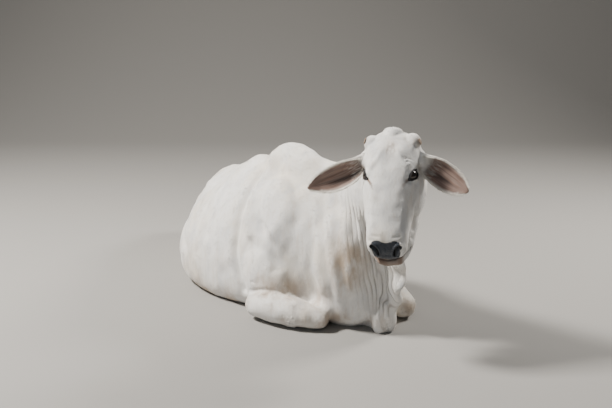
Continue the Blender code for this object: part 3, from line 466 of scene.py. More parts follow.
def gathered(grids):
    """Several closed grids as one array of points and one of faces."""
    points, faces, start = [], [], 0
    for grid in grids:
        points.append(grid.reshape(-1, 3))
        faces.append(grid_faces(grid.shape[0], grid.shape[1]) + start)
        start += grid.shape[0] * grid.shape[1]
    return np.vstack(points), np.vstack(faces)


print("a square tube of two rings has the faces", grid_faces(2, 4).tolist())

# %% All the forms of the body and the head
trunk_rows = [(x, y, zm, left, right, top - zm, zm - low, a, b, roll)
              for y, x, top, low, left, right, zm, a, b, roll in TRUNK]
body_grids = [loft(trunk_rows, ring=72), loft(simple(NECK)), loft(simple(DEWLAP), up=(0, -1, 0))]
body_grids += [ball(*spec) for spec in BALLS.values()]
body_grids += [loft(simple(rows), ring=32) for rows in LIMBS.values()]


def head_rows(table, aside=0.0):
    """Slices of the head as loft rows: the path runs along the head's third axis."""
    return [(aside, (top + low) / 2, s, w, w, (top - low) / 2, (top - low) / 2, a, b, 0)
            for s, top, low, w, a, b in table]


head_grids = [from_head(loft(head_rows(table, aside), up=(0, 1, 0), ring=64, cap=0.4))
              for table, aside in ((SKULL, 0.0), (JAW, JAW_ASIDE))]
head_grids += [from_head(ball(centre, radii)) for centre, radii in HEAD_BALLS]
print(len(body_grids), "body forms,", len(head_grids), "head forms")

# %% [markdown]
# ## Ears
#
# A zebu's ear is a long leaf rolled into a cup. Its cross-section is an arc with thickness: with the
# bend radius R and a ring angle q, the arc angle is p = b cos q, the depth h is (t/2) |sin q|^0.45 with
# the sign of sin q, and the point is ((R - h) sin p, R - (R - h) cos p). A sheet with a Solidify modifier
# would give the same wall, but an arc that is thick from the start closes at its rim and tip. The ears
# are part of the same skin as the head.

# %% Ear tables and surface
# centre line, half width, how far it is rolled, thickness, tip last
EARS = {
    1: (((0.070, -0.072, 0.092), 0.034, 1.0, 0.046), ((0.096, -0.078, 0.104), 0.035, 1.15, 0.030),
        ((0.130, -0.086, 0.124), 0.052, 1.05, 0.015), ((0.172, -0.090, 0.148), 0.063, 0.85, 0.011),
        ((0.218, -0.092, 0.180), 0.060, 0.66, 0.010), ((0.260, -0.088, 0.210), 0.043, 0.48, 0.010),
        ((0.290, -0.081, 0.233), 0.012, 0.25, 0.009)),
    -1: (((0.070, -0.072, 0.096), 0.034, 1.0, 0.046), ((0.096, -0.078, 0.110), 0.035, 1.15, 0.030),
         ((0.130, -0.086, 0.134), 0.050, 1.05, 0.014), ((0.180, -0.090, 0.163), 0.062, 0.85, 0.011),
         ((0.235, -0.092, 0.190), 0.058, 0.66, 0.010), ((0.287, -0.088, 0.211), 0.040, 0.48, 0.010),
         ((0.331, -0.081, 0.232), 0.010, 0.25, 0.009)),
}
EAR_FACE = np.array((-0.12, 1.0, 0.34))  # the way the open side of the left ear looks
EAR_ROLL = 1.25  # how much tighter the cup is rolled than the table says


def ear_frame(side):
    """Rows along the ear: centre, run, face, wide directions and the half width, roll, thickness."""
    rows = smooth_rows([(*p, w, cup, t) for p, w, cup, t in EARS[side]], 8)
    path = rows[:, :3] * (side, 1, 1)
    run = unit(np.gradient(path, axis=0))
    look = EAR_FACE * (side, 1, 1)
    face = unit(look - run * (run @ look)[:, None])
    return path, run, face, np.cross(run, face), rows[:, 3:4], rows[:, 4:5] * EAR_ROLL, rows[:, 5:6]


def ear_grid(side, ring=56):
    """The closed cup described above, in the head's axes."""
    path, run, face, wide, half, roll, thick = ear_frame(side)
    q = np.linspace(0, 2 * np.pi, ring, endpoint=False)[None]
    radius = half / roll
    p, h = roll * np.cos(q), thick / 2 * np.sign(np.sin(q)) * np.abs(np.sin(q)) ** 0.45
    x, y = (radius - h) * np.sin(p), radius - (radius - h) * np.cos(p)
    rings = path[:, None] + x[..., None] * wide[:, None] + y[..., None] * face[:, None]
    first = path[:1, None] + 0 * rings[:1]
    last = path[-1:, None] + 0.01 * run[-1] + 0 * rings[:1]
    return np.concatenate((first, rings, last))


def ear_place(local, side):
    """Where points are on an ear: share of its length, across (-1 to 1), depth over the middle of the
    sheet on the cupped side, and distance in half widths, from the nearest row of the centre line."""
    path, _, face, wide, half, roll, _ = ear_frame(side)
    row = np.argmin(((local[:, None] - path[None]) ** 2).sum(-1), axis=1)
    off = local - path[row]
    x, y = (off * wide[row]).sum(1), (off * face[row]).sum(1)
    radius = (half / roll)[row, 0]
    arc = np.arctan2(x, radius - y)
    depth = radius - np.hypot(x, radius - y)
    return row / (len(path) - 1), arc / roll[row, 0], depth, np.sqrt((off**2).sum(1)) / half[row, 0]


head_grids += [from_head(ear_grid(side)) for side in (1, -1)]
# a ball under each ear carries it
head_grids += [from_head(ball((0.078 * side, -0.070, 0.082), (0.036, 0.036, 0.034))) for side in (1, -1)]
print("ears of", ear_grid(1).shape, "points")

# %% [markdown]
# ## One skin
#
# Flesh has no seams, so the forms are fused twice. A coarse voxel remesh with some smoothing runs the
# body's forms into each other; the head is added and the whole is remeshed finely. A boolean union
# would leave a sharp seam at every crossing. The remesh gives even quads with none, which is what the
# formulas after it need.


# %% Fusing
COARSE, FINE = 0.012, 0.0032  # voxels of the body alone and of the whole skin
FLOOR_TOP = 0.0004  # no point of the skin is lower


def settled(obj):
    """Replaces the mesh by what its modifiers make of it."""
    bpy.context.view_layer.update()
    graph = bpy.context.evaluated_depsgraph_get()
    old = obj.data
    obj.data = bpy.data.meshes.new_from_object(obj.evaluated_get(graph), depsgraph=graph)
    obj.modifiers.clear()
    bpy.data.meshes.remove(old)
    return obj


def fused(obj, voxel, rounds):
    """Voxel remesh, then a few rounds of smoothing."""
    remesh = obj.modifiers.new("fuse", "REMESH")
    remesh.mode = "VOXEL"
    remesh.voxel_size = voxel
    smooth = obj.modifiers.new("soften", "SMOOTH")
    smooth.iterations = rounds
    smooth.factor = 0.5
    return settled(obj)


def points_of(obj):
    """Vertex positions as an array."""
    flat = np.empty(len(obj.data.vertices) * 3, np.float32)
    obj.data.vertices.foreach_get("co", flat)
    return flat.reshape(-1, 3).astype(float)


def normals_of(obj):
    """Vertex normals as an array."""
    flat = np.empty(len(obj.data.vertices) * 3, np.float32)
    obj.data.vertices.foreach_get("normal", flat)
    return flat.reshape(-1, 3).astype(float)


def put(obj, points):
    """Writes vertex positions back."""
    obj.data.vertices.foreach_set("co", np.ascontiguousarray(points, np.float32).ravel())
    obj.data.update()


def faces_of(obj, corners):
    """Vertex indices of the faces, which all have the given number of corners."""
    flat = np.empty(len(obj.data.loops), np.int32)
    obj.data.loops.foreach_get("vertex_index", flat)
    return flat.reshape(-1, corners)


body = mesh_object("cow_skin", *gathered(body_grids), merge=1e-5)
fused(body, COARSE, 8)
# the weight of the animal flattens its underside
under = bmesh.new()
under.from_mesh(body.data)
cut = bmesh.ops.bisect_plane(under, geom=under.verts[:] + under.edges[:] + under.faces[:], dist=1e-6,
                             plane_co=(0, 0, 0), plane_no=(0, 0, 1), clear_inner=True)
rim = [e for e in cut["geom_cut"] if isinstance(e, bmesh.types.BMEdge)]
bmesh.ops.holes_fill(under, edges=rim, sides=0)
bmesh.ops.triangulate(under, faces=[f for f in under.faces if len(f.verts) > 4])
under.to_mesh(body.data)
under.free()
print("coarse body", len(body.data.vertices), "points")

head = mesh_object("head_forms", *gathered(head_grids), merge=1e-5)
both = bmesh.new()
both.from_mesh(body.data)
both.from_mesh(head.data)
both.to_mesh(body.data)
both.free()
bpy.data.objects.remove(head)
fused(body, FINE, 3)
print("fine skin", len(body.data.vertices), "points")

# %% [markdown]
# ## Folds, hollows and ridges
#
# A zebu has loose skin: it hangs in folds round the neck, and bones and muscles show through it on the
# flanks. A picture of folds in the bump would vanish at the outline, so these are real. Skin is pressed
# in and raised along lines. The height at a point is h exp(-(d/w)^2), where d is its distance from the
# line, and it moves along the normal. Lines on the flanks are drawn in side view (y, z) and laid on both
# sides; lines on the head are in the head's axes and mirrored.


# %% Distances and steps
def off_line(points, line):
    """Distance from a polyline, and how far along it the nearest place is, from 0 to 1."""
    line = np.asarray(line, float)
    best, where = np.full(len(points), 1e9), np.zeros(len(points))
    for k, (a, b) in enumerate(zip(line[:-1], line[1:])):
        ab = b - a
        t = np.clip((points - a) @ ab / max(ab @ ab, 1e-12), 0, 1)
        far = np.linalg.norm(points - a - t[:, None] * ab, axis=1)
        where = np.where(far < best, (k + t) / (len(line) - 1), where)
        best = np.minimum(best, far)
    return best, where


def step(x, low, high):
    """Smoothstep: 3t^2 - 2t^3 with t = (x - low)/(high - low) kept between 0 and 1."""
    t = np.clip((x - low) / (high - low), 0, 1)
    return t * t * (3 - 2 * t)


def waves(points, scale, count=18, seed=3):
    """Soft noise: a mean of sines along random directions, about between -1 and 1."""
    rng = np.random.default_rng(seed)
    heading = unit(rng.normal(size=(count, 3))) * rng.uniform(0.6, 1.6, (count, 1)) * 2 * np.pi / scale
    return np.sin(points @ heading.T + rng.uniform(0, 2 * np.pi, count)).sum(1) / np.sqrt(count / 2)


def behind_jaw(points):
    """How far back round the neck a point is from the line under the jaw: a tilted plane that bends
    back at the neck's middle, x = 0.07, and wavers by a few millimetres."""
    x, y, z = points.T
    return 0.8 * y + 0.6 * np.abs(x - 0.07) - 0.17 * (z - 0.45) + 0.47 + 0.004 * waves(points, 0.30, seed=5)


def neck_folds(points):
    """Folds hang round the neck one behind the other. Their spacing grows backwards from the jaw:
    ln(a + b d) / b goes up by one in every a + b d. Returned are that count and how strong they are."""
    narrow, spread, narrowest = 0.0135, 0.030, 0.006
    _, y, z = points.T
    behind = behind_jaw(points)
    count = np.log(np.maximum(narrow + spread * behind, narrowest)) / spread
    reach = step(-behind, -0.20, -0.06) * step(behind, -0.10, -0.03) * step(z, 0.02, 0.14)
    reach *= step(-z, -0.80, -0.68) * step(-y, 0.30, 0.38) * step(y, -0.68, -0.60)
    return count, reach * (0.80 + 0.35 * waves(points, 0.14, seed=8).clip(-1, 1)).clip(0, 1)


def near(points, centre, radius):
    """exp(-(d/r)^2) round a place."""
    return np.exp(-((points - np.asarray(centre, float)) ** 2).sum(1) / radius**2)


def pressed(points, places):
    """Heights of round places: the sum of h exp(-(d/r)^2) over (centre, radius, height)."""
    return sum(height * near(points, centre, radius) for centre, radius, height in places)


print("a step from 0 to 1 has reached", step(0.25, 0, 1), "at a quarter and", step(0.5, 0, 1), "at half")

# %% Lines and places of the body, and the folds made
# side-view lines (y, z): line, width, height on the right side, height on the left
FLANK_LINES = (
    (((0.040, 0.68), (0.00, 0.52), (-0.05, 0.36)), 0.024, 0.015, 0.010),
    (((-0.03, 0.66), (-0.07, 0.52), (-0.12, 0.40)), 0.030, -0.009, -0.006),
    (((-0.24, 0.56), (-0.20, 0.42), (-0.13, 0.27)), 0.035, 0.006, 0.004),
    (((0.085, 0.60), (0.070, 0.45), (0.03, 0.25), (-0.03, 0.10)), 0.020, -0.019, -0.014),
    (((0.42, 0.20), (0.56, 0.24), (0.66, 0.30)), 0.030, -0.008, -0.006),
    (((-0.11, 0.42), (-0.19, 0.33), (-0.22, 0.24)), 0.018, -0.008, -0.007),
    (((0.19, 0.50), (0.17, 0.34), (0.13, 0.20)), 0.016, 0.0020, 0.0020),
    (((0.25, 0.50), (0.235, 0.34), (0.20, 0.20)), 0.016, 0.0022, 0.0022),
    (((0.31, 0.48), (0.30, 0.34), (0.27, 0.20)), 0.016, 0.0022, 0.0022),
    (((0.37, 0.46), (0.365, 0.34), (0.34, 0.22)), 0.016, 0.0016, 0.0016),
)
# lines in space: line, width, height
SPACE_LINES = (
    (((-0.305, -0.09, 0.115), (-0.268, -0.19, 0.145), (-0.20, -0.28, 0.145), (-0.13, -0.34, 0.10)),
     0.0100, -0.0120),
    (((-0.29, -0.12, 0.165), (-0.25, -0.20, 0.175), (-0.19, -0.27, 0.170)), 0.0070, -0.0045),
    (((-0.28, -0.10, 0.195), (-0.24, -0.18, 0.205), (-0.18, -0.25, 0.200)), 0.0080, -0.0035),
    (((0.33, -0.14, 0.20), (0.33, -0.24, 0.18), (0.32, -0.34, 0.15)), 0.0090, -0.0075),
    (((0.060, -0.57, 0.34), (0.062, -0.60, 0.22), (0.082, -0.60, 0.08)), 0.0140, 0.0150),
    (((0.040, -0.54, 0.34), (0.035, -0.57, 0.22), (0.055, -0.58, 0.06)), 0.0090, -0.0110),
    (((0.112, -0.60, 0.30), (0.112, -0.61, 0.20), (0.112, -0.59, 0.06)), 0.0080, -0.0110),
    (((-0.02, -0.46, 0.28), (-0.01, -0.50, 0.18), (0.01, -0.52, 0.06)), 0.0120, -0.0080),
    (((-0.13, -0.36, 0.10), (-0.10, -0.42, 0.16), (-0.06, -0.46, 0.24)), 0.0140, -0.0050),
)
# places in space: centre, radius, height
BODY_SPOTS = (
    ((-0.10, 0.53, 0.47), 0.085, -0.020), ((0.28, 0.50, 0.50), 0.085, -0.018),
    ((-0.02, 0.645, 0.445), 0.045, 0.010), ((0.005, 0.14, 0.69), 0.060, -0.008),
    ((0.40, 0.86, 0.30), 0.10, -0.006),
)

COAT_DEPTH = 0.0008  # how far the skin lies inside the solids
FOLD_HEIGHT, WIDE_FOLD_HEIGHT, WIDE_FOLD_SPACING = 0.0040, 0.0034, 0.070

co, up_from = points_of(body), normals_of(body)
lift = pressed(co, BODY_SPOTS)
right = step(-up_from[:, 0], 0.05, 0.45)
left = step(up_from[:, 0], 0.05, 0.45)
trunk_only = step(co[:, 1], -0.34, -0.28)
for line, width, on_right, on_left in FLANK_LINES:
    off, _ = off_line(co[:, 1:], line)
    lift += np.exp(-(off / width) ** 2) * (on_right * right + on_left * left) * trunk_only
for line, width, height in SPACE_LINES:
    off, _ = off_line(co, line)
    lift += height * np.exp(-(off / width) ** 2)
local = to_head(co)
head_share = step(local[:, 2], -0.06, 0.02) * step(-np.abs(local[:, 0]), -0.40, -0.36)
head_share *= step(local[:, 1], -0.250, -0.222)

count, reach = neck_folds(co)
lift += (np.abs(np.sin(np.pi * count / 2)) ** 0.6 - 0.66) * FOLD_HEIGHT * reach * (1 - head_share)
# broader folds lead from them towards the shoulder
wide_wave = np.sin(2 * np.pi * (behind_jaw(co) + 0.010 * waves(co, 0.25, seed=15)) / WIDE_FOLD_SPACING)
reach = step(-co[:, 1], 0.26, 0.38) * step(co[:, 1], -0.68, -0.56) * step(co[:, 2], 0.02, 0.14)
reach *= step(-co[:, 2], -0.66, -0.50)
lift += wide_wave * WIDE_FOLD_HEIGHT * reach * (right + 0.7 * left) * (1 - head_share)
lift += 0.0012 * waves(co, 0.09, seed=11) * (1 - head_share)
co += up_from * (lift - COAT_DEPTH)[:, None]

# the dewlap sways from side to side and its edge is scalloped
edge = step(-co[:, 1], 0.56, 0.68) * step(-co[:, 2], -0.56, -0.46) * step(co[:, 2], 0.0, 0.10)
edge *= 1 - head_share
co[:, 0] += edge * 0.012 * np.sin(2 * np.pi * co[:, 2] / 0.125 + 0.8)
co[:, 1] += edge * 0.007 * np.sin(2 * np.pi * co[:, 2] / 0.085)
put(body, co)
print("folds up to %.1f mm" % (1000 * np.abs(lift).max()))

# %% [markdown]
# ## The face
#
# A cow's eye sits under thick folded lids, its nostrils are commas at the upper corners of a damp pad,
# and the lips are rolls with a line between. These need a finer mesh than the flank, so the faces
# around the eyes and on the muzzle are divided once more before the formulas shape them.


# %% Finer faces round the eyes and on the muzzle
EYE_LOOK = {1: (0.83, 0.56), -1: (0.965, 0.26)}  # how far each eye looks out and ahead


def eye_axes(side):
    """The way the eye looks, the line from its outer to its inner corner, and up the lid."""
    out, ahead = EYE_LOOK[side]
    look = unit(np.array((out * side, ahead, 0.02)))
    slit = np.array((-ahead * side, out, 0.0)) * 0.65 + np.array((0, 0, 0.76))
    slit = unit(slit - look * (slit @ look))
    up = np.cross(slit, look) * side
    return look, slit, up


def eye_place(local, side):
    """Angles on the eyeball times its radius (along the slit, up the lid), distance, how far in front."""
    look, slit, up = eye_axes(side)
    off = local - np.array(EYE) * (side, 1, 1)
    far = np.linalg.norm(off, axis=1)
    ray = off / np.maximum(far, 1e-9)[:, None]
    ahead = ray @ look
    angle = np.arccos(np.clip(ahead, -1, 1))
    scale = EYE_RADIUS * angle / np.maximum(np.sin(angle), 1e-6)
    return (ray @ slit) * scale, (ray @ up) * scale, far, ahead


def from_eyes(local):
    """Distance to the nearer eye's centre."""
    return np.minimum(*(np.linalg.norm(local - np.array(EYE) * (side, 1, 1), axis=1) for side in (1, -1)))


local = to_head(points_of(body))
x, y, along = local.T
muzzle = (along > 0.415) & (along < 0.56) & (np.abs(x) < 0.1) & (y > -0.17)
fine_zone = (from_eyes(local) < 0.052) | muzzle
quads = faces_of(body, 4)
chosen = np.flatnonzero(fine_zone[quads].all(1))
finer = bmesh.new()
finer.from_mesh(body.data)
finer.faces.ensure_lookup_table()
chosen_edges = {e for i in chosen for e in finer.faces[i].edges}
bmesh.ops.subdivide_edges(finer, edges=list(chosen_edges), cuts=1, use_grid_fill=True, smooth=0.6)
finer.to_mesh(body.data)
finer.free()
print("after dividing", len(body.data.vertices), "points,", len(chosen), "faces were divided")

# %% Lids, lips, nostrils
LID_HALF, LID_UP, LID_LOW = 0.0285, 0.0165, 0.0125  # half length of the slit, height above and below it
# creases of the lids: distance from the margin, width, depth
UPPER_CREASES = ((0.0062, 0.0014, 0.0019), (0.0115, 0.0018, 0.0016), (0.0175, 0.0022, 0.0012))
LOWER_CREASES = ((0.0060, 0.0016, 0.0014), (0.0110, 0.0018, 0.0010))
# head lines on both sides: line, width, height
HEAD_LINES = (
    (((0.0, -0.097, 0.506), (0.030, -0.097, 0.500), (0.056, -0.099, 0.484), (0.074, -0.104, 0.464),
      (0.084, -0.108, 0.448)), 0.0036, -0.0080),
    (((0.0, -0.086, 0.506), (0.034, -0.086, 0.494), (0.062, -0.085, 0.462), (0.076, -0.087, 0.41)),
     0.0085, 0.0040),
    (((0.0, -0.109, 0.522), (0.030, -0.109, 0.510), (0.052, -0.110, 0.478), (0.066, -0.113, 0.43)),
     0.0085, 0.0045),
    (((0.0, -0.030, 0.470), (0.0, -0.088, 0.506)), 0.0030, -0.0022),
    (((0.094, -0.048, 0.235), (0.090, -0.052, 0.300), (0.082, -0.060, 0.350)), 0.011, 0.0050),
    (((0.064, -0.012, 0.240), (0.056, -0.014, 0.32), (0.050, -0.018, 0.39)), 0.010, 0.0026),
    (((0.092, -0.080, 0.270), (0.092, -0.096, 0.33), (0.090, -0.100, 0.38)), 0.010, -0.0040),
    (((0.030, -0.008, 0.432), (0.050, -0.018, 0.424), (0.066, -0.045, 0.418)), 0.006, -0.0022),
    (((0.030, 0.012, 0.10), (0.052, 0.010, 0.14), (0.066, 0.000, 0.165)), 0.011, 0.0034),
    (((0.098, -0.060, 0.12), (0.104, -0.070, 0.16), (0.100, -0.080, 0.21)), 0.014, -0.0050),
    (((0.078, -0.012, 0.225), (0.070, -0.010, 0.27), (0.066, -0.014, 0.31)), 0.006, -0.0010),
    (((0.052, 0.010, 0.150), (0.066, 0.004, 0.141), (0.084, -0.014, 0.146)), 0.0040, -0.0022),
    (((0.048, 0.012, 0.140), (0.066, 0.006, 0.129), (0.086, -0.012, 0.133)), 0.0040, -0.0016),
    (((0.094, -0.075, 0.40), (0.088, -0.10, 0.415), (0.070, -0.135, 0.42)), 0.007, -0.0025),
)
# head places on both sides: centre, radius, height
HEAD_SPOTS = (
    ((0.030, 0.012, 0.105), 0.028, 0.004), ((0.000, 0.016, 0.150), 0.030, -0.0030),
    ((0.070, -0.050, 0.310), 0.028, -0.005), ((0.104, -0.085, 0.130), 0.022, -0.007),
    ((0.076, -0.004, 0.150), 0.018, 0.006), ((0.084, -0.109, 0.450), 0.009, -0.004),
    ((0.000, 0.004, 0.300), 0.030, 0.0020), ((0.000, -0.050, -0.016), 0.022, -0.009),
    ((0.034, -0.048, 0.008), 0.016, 0.0050),
)
# the comma of a nostril, and the way into it
NOSTRIL = np.array(((0.029, -0.060, 0.485), (0.032, -0.050, 0.478), (0.037, -0.041, 0.468),
                    (0.043, -0.036, 0.457), (0.047, -0.036, 0.448)))
NOSTRIL_IN = unit(np.array((-0.35, -0.45, -0.82)))


def nostril_off(points):
    """Distance from the comma and place along it, both measured across the way in."""
    flat = [p - (p @ NOSTRIL_IN)[:, None] * NOSTRIL_IN for p in (points, NOSTRIL)]
    off, along = off_line(*flat)
    depth = np.abs((points - NOSTRIL.mean(0)) @ NOSTRIL_IN)
    return np.where(depth < 0.045, off, 1.0), along


def almond(a, b):
    """Distance outside the lid margin, negative between the lids. The margin is b = H (1 - (a/L)^2)^0.8,
    with H and L from the sizes above; the distance is along b, eased at the corners."""
    shape = np.clip(1 - (a / LID_HALF) ** 2, 0, 1) ** 0.8
    over = np.where(b >= 0, b - LID_UP * shape, -b - LID_LOW * shape)
    corner = np.hypot(np.maximum(np.abs(a) - LID_HALF, 0), b)
    return np.where(np.abs(a) > LID_HALF, corner, over)


def lids(local, side):
    """Sets skin near the eye on shells around it: r = R + 3 mm at the margin, easing out to where it was
    15 mm away, and behind the eyeball's face between the lids. Creases follow both lids."""
    a, b, far, ahead = eye_place(local, side)
    use = (far < 0.050) & (ahead > 0.12)
    out = almond(a[use], b[use])
    radius = EYE_RADIUS + 0.0030 + 0.06 * np.maximum(out, 0)
    share = step(out, 0.004, 0.015)
    radius = radius * (1 - share) + far[use] * share
    above = step(b[use], -0.002, 0.004)
    for creases, there in ((UPPER_CREASES, above), (LOWER_CREASES, 1 - above)):
        for place, width, deep in creases:
            radius -= deep * np.exp(-((out - place) / width) ** 2) * there
    radius += 0.0012 * np.exp(-((out - 0.0022) / 0.0018) ** 2)
    sunk = step(-out, 0.0, 0.0012)
    radius = np.where(out < 0, EYE_RADIUS - 0.0035 * sunk + 0.003 * (1 - sunk), radius)
    centre = np.array(EYE) * (side, 1, 1)
    local[use] = centre + unit(local[use] - centre) * radius[:, None]
    return local


print("the eyes are open by %.0f mm" % (1000 * (LID_UP + LID_LOW)))

# %% The face shaped
co, up_from = points_of(body), normals_of(body)
local = to_head(co)
x, y, along = local.T
near_head = np.flatnonzero((along > -0.05) & (along < 0.56) & (np.abs(x) < 0.36) & (y > -0.26))
here, out_of = local[near_head], up_from[near_head] @ AXES.T
mirrored = here.copy()
mirrored[:, 0] = np.abs(here[:, 0])
lift = pressed(mirrored, HEAD_SPOTS)
lines = np.zeros(len(here))
for line, width, height in HEAD_LINES:
    off, _ = off_line(mirrored, line)
    part = height * np.exp(-(off / width) ** 2)
    lines = np.where(np.abs(part) > np.abs(lines), part, lines)
lift += lines + 0.0006 * waves(here, 0.05, seed=21)
here += out_of * lift[:, None]

# nostrils go in along one direction, deepest where the comma is widest, with a raised wing round them
off, where = nostril_off(mirrored)
wide = np.interp(where, (0, 0.35, 0.7, 1), (0.0045, 0.0060, 0.0066, 0.0050))
deep = np.interp(where, (0, 0.35, 0.7, 1), (0.010, 0.018, 0.018, 0.010))
front = step(mirrored[:, 2], 0.415, 0.425)
into = (NOSTRIL_IN * np.stack((np.sign(here[:, 0]), *np.ones((2, len(here)))), 1))
here += into * (deep * (1 - step(off, wide * 0.55, wide * 1.25)) * front)[:, None]
here += out_of * (0.0026 * np.exp(-((off - wide * 1.9) / 0.0035) ** 2) * front)[:, None]
for side in (1, -1):
    here = lids(here, side)
co[near_head] = from_head(here)
co[:, 2] = np.maximum(co[:, 2], FLOOR_TOP)
put(body, co)
print("face shaped,", len(near_head), "points on the head")

# %% [markdown]
# ## Thinning
#
# Flat stretches of the flank don't need millimetre quads. A second remesh would thin the face as much as
# the flank. Decimate collapses edges where that changes least instead, and a vertex group with low
# weights on the face keeps its points.

# %% Fewer triangles where the skin is plain
SKIN_TRIANGLES = 192000
# weights: the lower, the more points stay
PLAIN, NECK_WEIGHT, HEAD_WEIGHT, FACE_WEIGHT = 1.0, 0.985, 0.97, 0.90


def is_head(local):
    """Which points are on the head or its ears."""
    x, y, along = local.T
    return (along > -0.04) & (np.abs(x) < 0.36) & (y > -0.24)


co = points_of(body)
local = to_head(co)
on_head = is_head(local)
keep = np.full(len(co), PLAIN)
keep[on_head] = HEAD_WEIGHT
keep[(from_eyes(local) < 0.050) | (on_head & (local[:, 2] > 0.42))] = FACE_WEIGHT
keep[(neck_folds(co)[1] > 0.3) & ~on_head] = NECK_WEIGHT
group = body.vertex_groups.new(name="thin")
for weight in np.unique(keep):
    group.add(np.flatnonzero(keep == weight).tolist(), float(weight), "REPLACE")
body.data.calc_loop_triangles()
thin = body.modifiers.new("thin", "DECIMATE")
thin.ratio = SKIN_TRIANGLES / len(body.data.loop_triangles)
thin.vertex_group = "thin"
thin.vertex_group_factor = 0.0015
thin.use_collapse_triangulate = True
settled(body)
body.vertex_groups.clear()
co = points_of(body)
on_head = is_head(to_head(co))
print("skin", len(body.data.polygons), "triangles;", int(on_head.sum()), "of", len(co), "points on the head")

# %% [markdown]
# ## Where the skin is not white
#
# The coat is short and white over dark skin. The skin shows where hair is thin: on the nose pad, the
# lips and the lid margins. Inside the ears it is brown with a dark streak. Ochre dust clings to the
# knees, the brisket and the folds, and tears leave a brown line under each eye. Marks could be painted
# on a flat picture of the skin, but a picture has seams. Here each mark is a number from 0 to 1, worked
# out from distances and kept at the points of the skin, so that it stays put from every side.


# %% Masks on the skin
def keep_mask(obj, name, values):
    """Numbers on the points of a mesh, from 0 to 1 unless they are a count, or a vector for each point."""
    if values.ndim == 2:
        layer = obj.data.attributes.new(name, "FLOAT_VECTOR", "POINT")
        layer.data.foreach_set("vector", values.astype(np.float32).ravel())
        return
    layer = obj.data.attributes.new(name, "FLOAT", "POINT")
    kept = values if name.endswith("count") else np.clip(values, 0, 1)
    layer.data.foreach_set("value", np.ascontiguousarray(kept, np.float32))


def snapped(line, points, parts=6):
    """A polyline divided finely, each place moved to the nearest of the points."""
    line = np.asarray(line, float)
    t = np.linspace(0, len(line) - 1, parts * (len(line) - 1) + 1)
    fine = np.stack([np.interp(t, np.arange(len(line)), line[:, k]) for k in range(3)], 1)
    return points[[np.argmin(((points - p) ** 2).sum(1)) for p in fine]]


EAR_LOW = {1: 1, -1: -1}  # which way across is the lower edge
EAR_BARE = {1: (0.32, 0.42), -1: (0.25, 0.35)}  # where the bare inside begins
# the line of tears from the inner corner of the left eye, and how strong it is on each side
TEAR_PATH = ((0, 0, 0), (-0.012, 0.006, 0.012), (-0.024, 0.010, 0.026), (-0.030, 0.010, 0.044))
TEAR_AMOUNT = {1: 0.50, -1: 0.95}
BROW_STREAKS = (-0.008, 0.003, 0.014)
MOUTH_CORNER = (0.082, -0.109, 0.458)
BUD_TIP, BUD_REACH = (0.106, -0.038, 0.050), 0.018
# ochre smudges on the head and on the body: centre, radius, amount
HEAD_DIRT = (((0.0, 0.016, 0.075), 0.035, 0.45), ((0.05, -0.02, 0.27), 0.05, 0.30))
DIRT = (
    ((-0.05, -0.50, 0.36), 0.10, 0.60), ((-0.07, -0.50, 0.25), 0.09, 0.50),
    ((-0.27, -0.19, 0.16), 0.07, 0.60), ((-0.19, -0.28, 0.15), 0.07, 0.60),
    ((-0.10, -0.38, 0.16), 0.06, 0.40),
    ((0.28, -0.50, 0.05), 0.06, 0.30), ((-0.12, -0.40, 0.07), 0.07, 0.45),
    ((0.00, -0.04, 0.74), 0.10, 0.16), ((-0.30, 0.45, 0.10), 0.20, 0.20),
    ((0.50, 0.70, 0.10), 0.14, 0.45), ((0.30, 0.98, 0.20), 0.12, 0.40),
    ((0.36, -0.20, 0.12), 0.10, 0.35), ((-0.33, 0.08, 0.20), 0.09, 0.22),
    ((-0.36, 0.30, 0.16), 0.12, 0.20),
)


def ear_masks(local, on_head):
    """The bare inside of the ears, its dark streak, the pale rim, and a map of the ear to draw on."""
    inner, streak, rim = np.zeros((3, len(local)))
    ear_map = np.zeros((len(local), 3))
    x, y, s = local.T
    for side in (1, -1):
        use = np.flatnonzero((x * side > 0.095) & (on_head > 0.5) & (y > -0.16))
        along, across, depth, far = ear_place(local[use], side)
        ok = (far < 1.5) & (s[use] > 0.05)
        cup = step(depth, -0.0005, 0.0015) * step(along, *EAR_BARE[side])
        cup *= step(-np.abs(across), -1.02, -0.80)
        inner[use] = np.maximum(inner[use], cup * ok)
        ear_map[use] = np.stack((along, across, depth), 1)
        low = across * EAR_LOW[side]
        line = np.exp(-((low - 0.34 + 0.50 * (along - 0.5)) / (0.10 + 0.10 * along)) ** 2)
        line *= step(along, 0.22, 0.36) * step(-along, -0.80, -0.60)
        line = np.maximum(line, 0.9 * step(-along, -0.40, -0.24) * step(-np.abs(low), -0.75, -0.4))
        streak[use] = np.maximum(streak[use], line * cup * ok)
        edge = np.exp(-((np.abs(across) - 1) / 0.14) ** 2)
        rim[use] = np.maximum(rim[use], ok * step(along, 0.2, 0.3) * edge)
    return {"ear_inner": inner, "ear_streak": streak, "ear_rim": rim, "ear_map": ear_map}


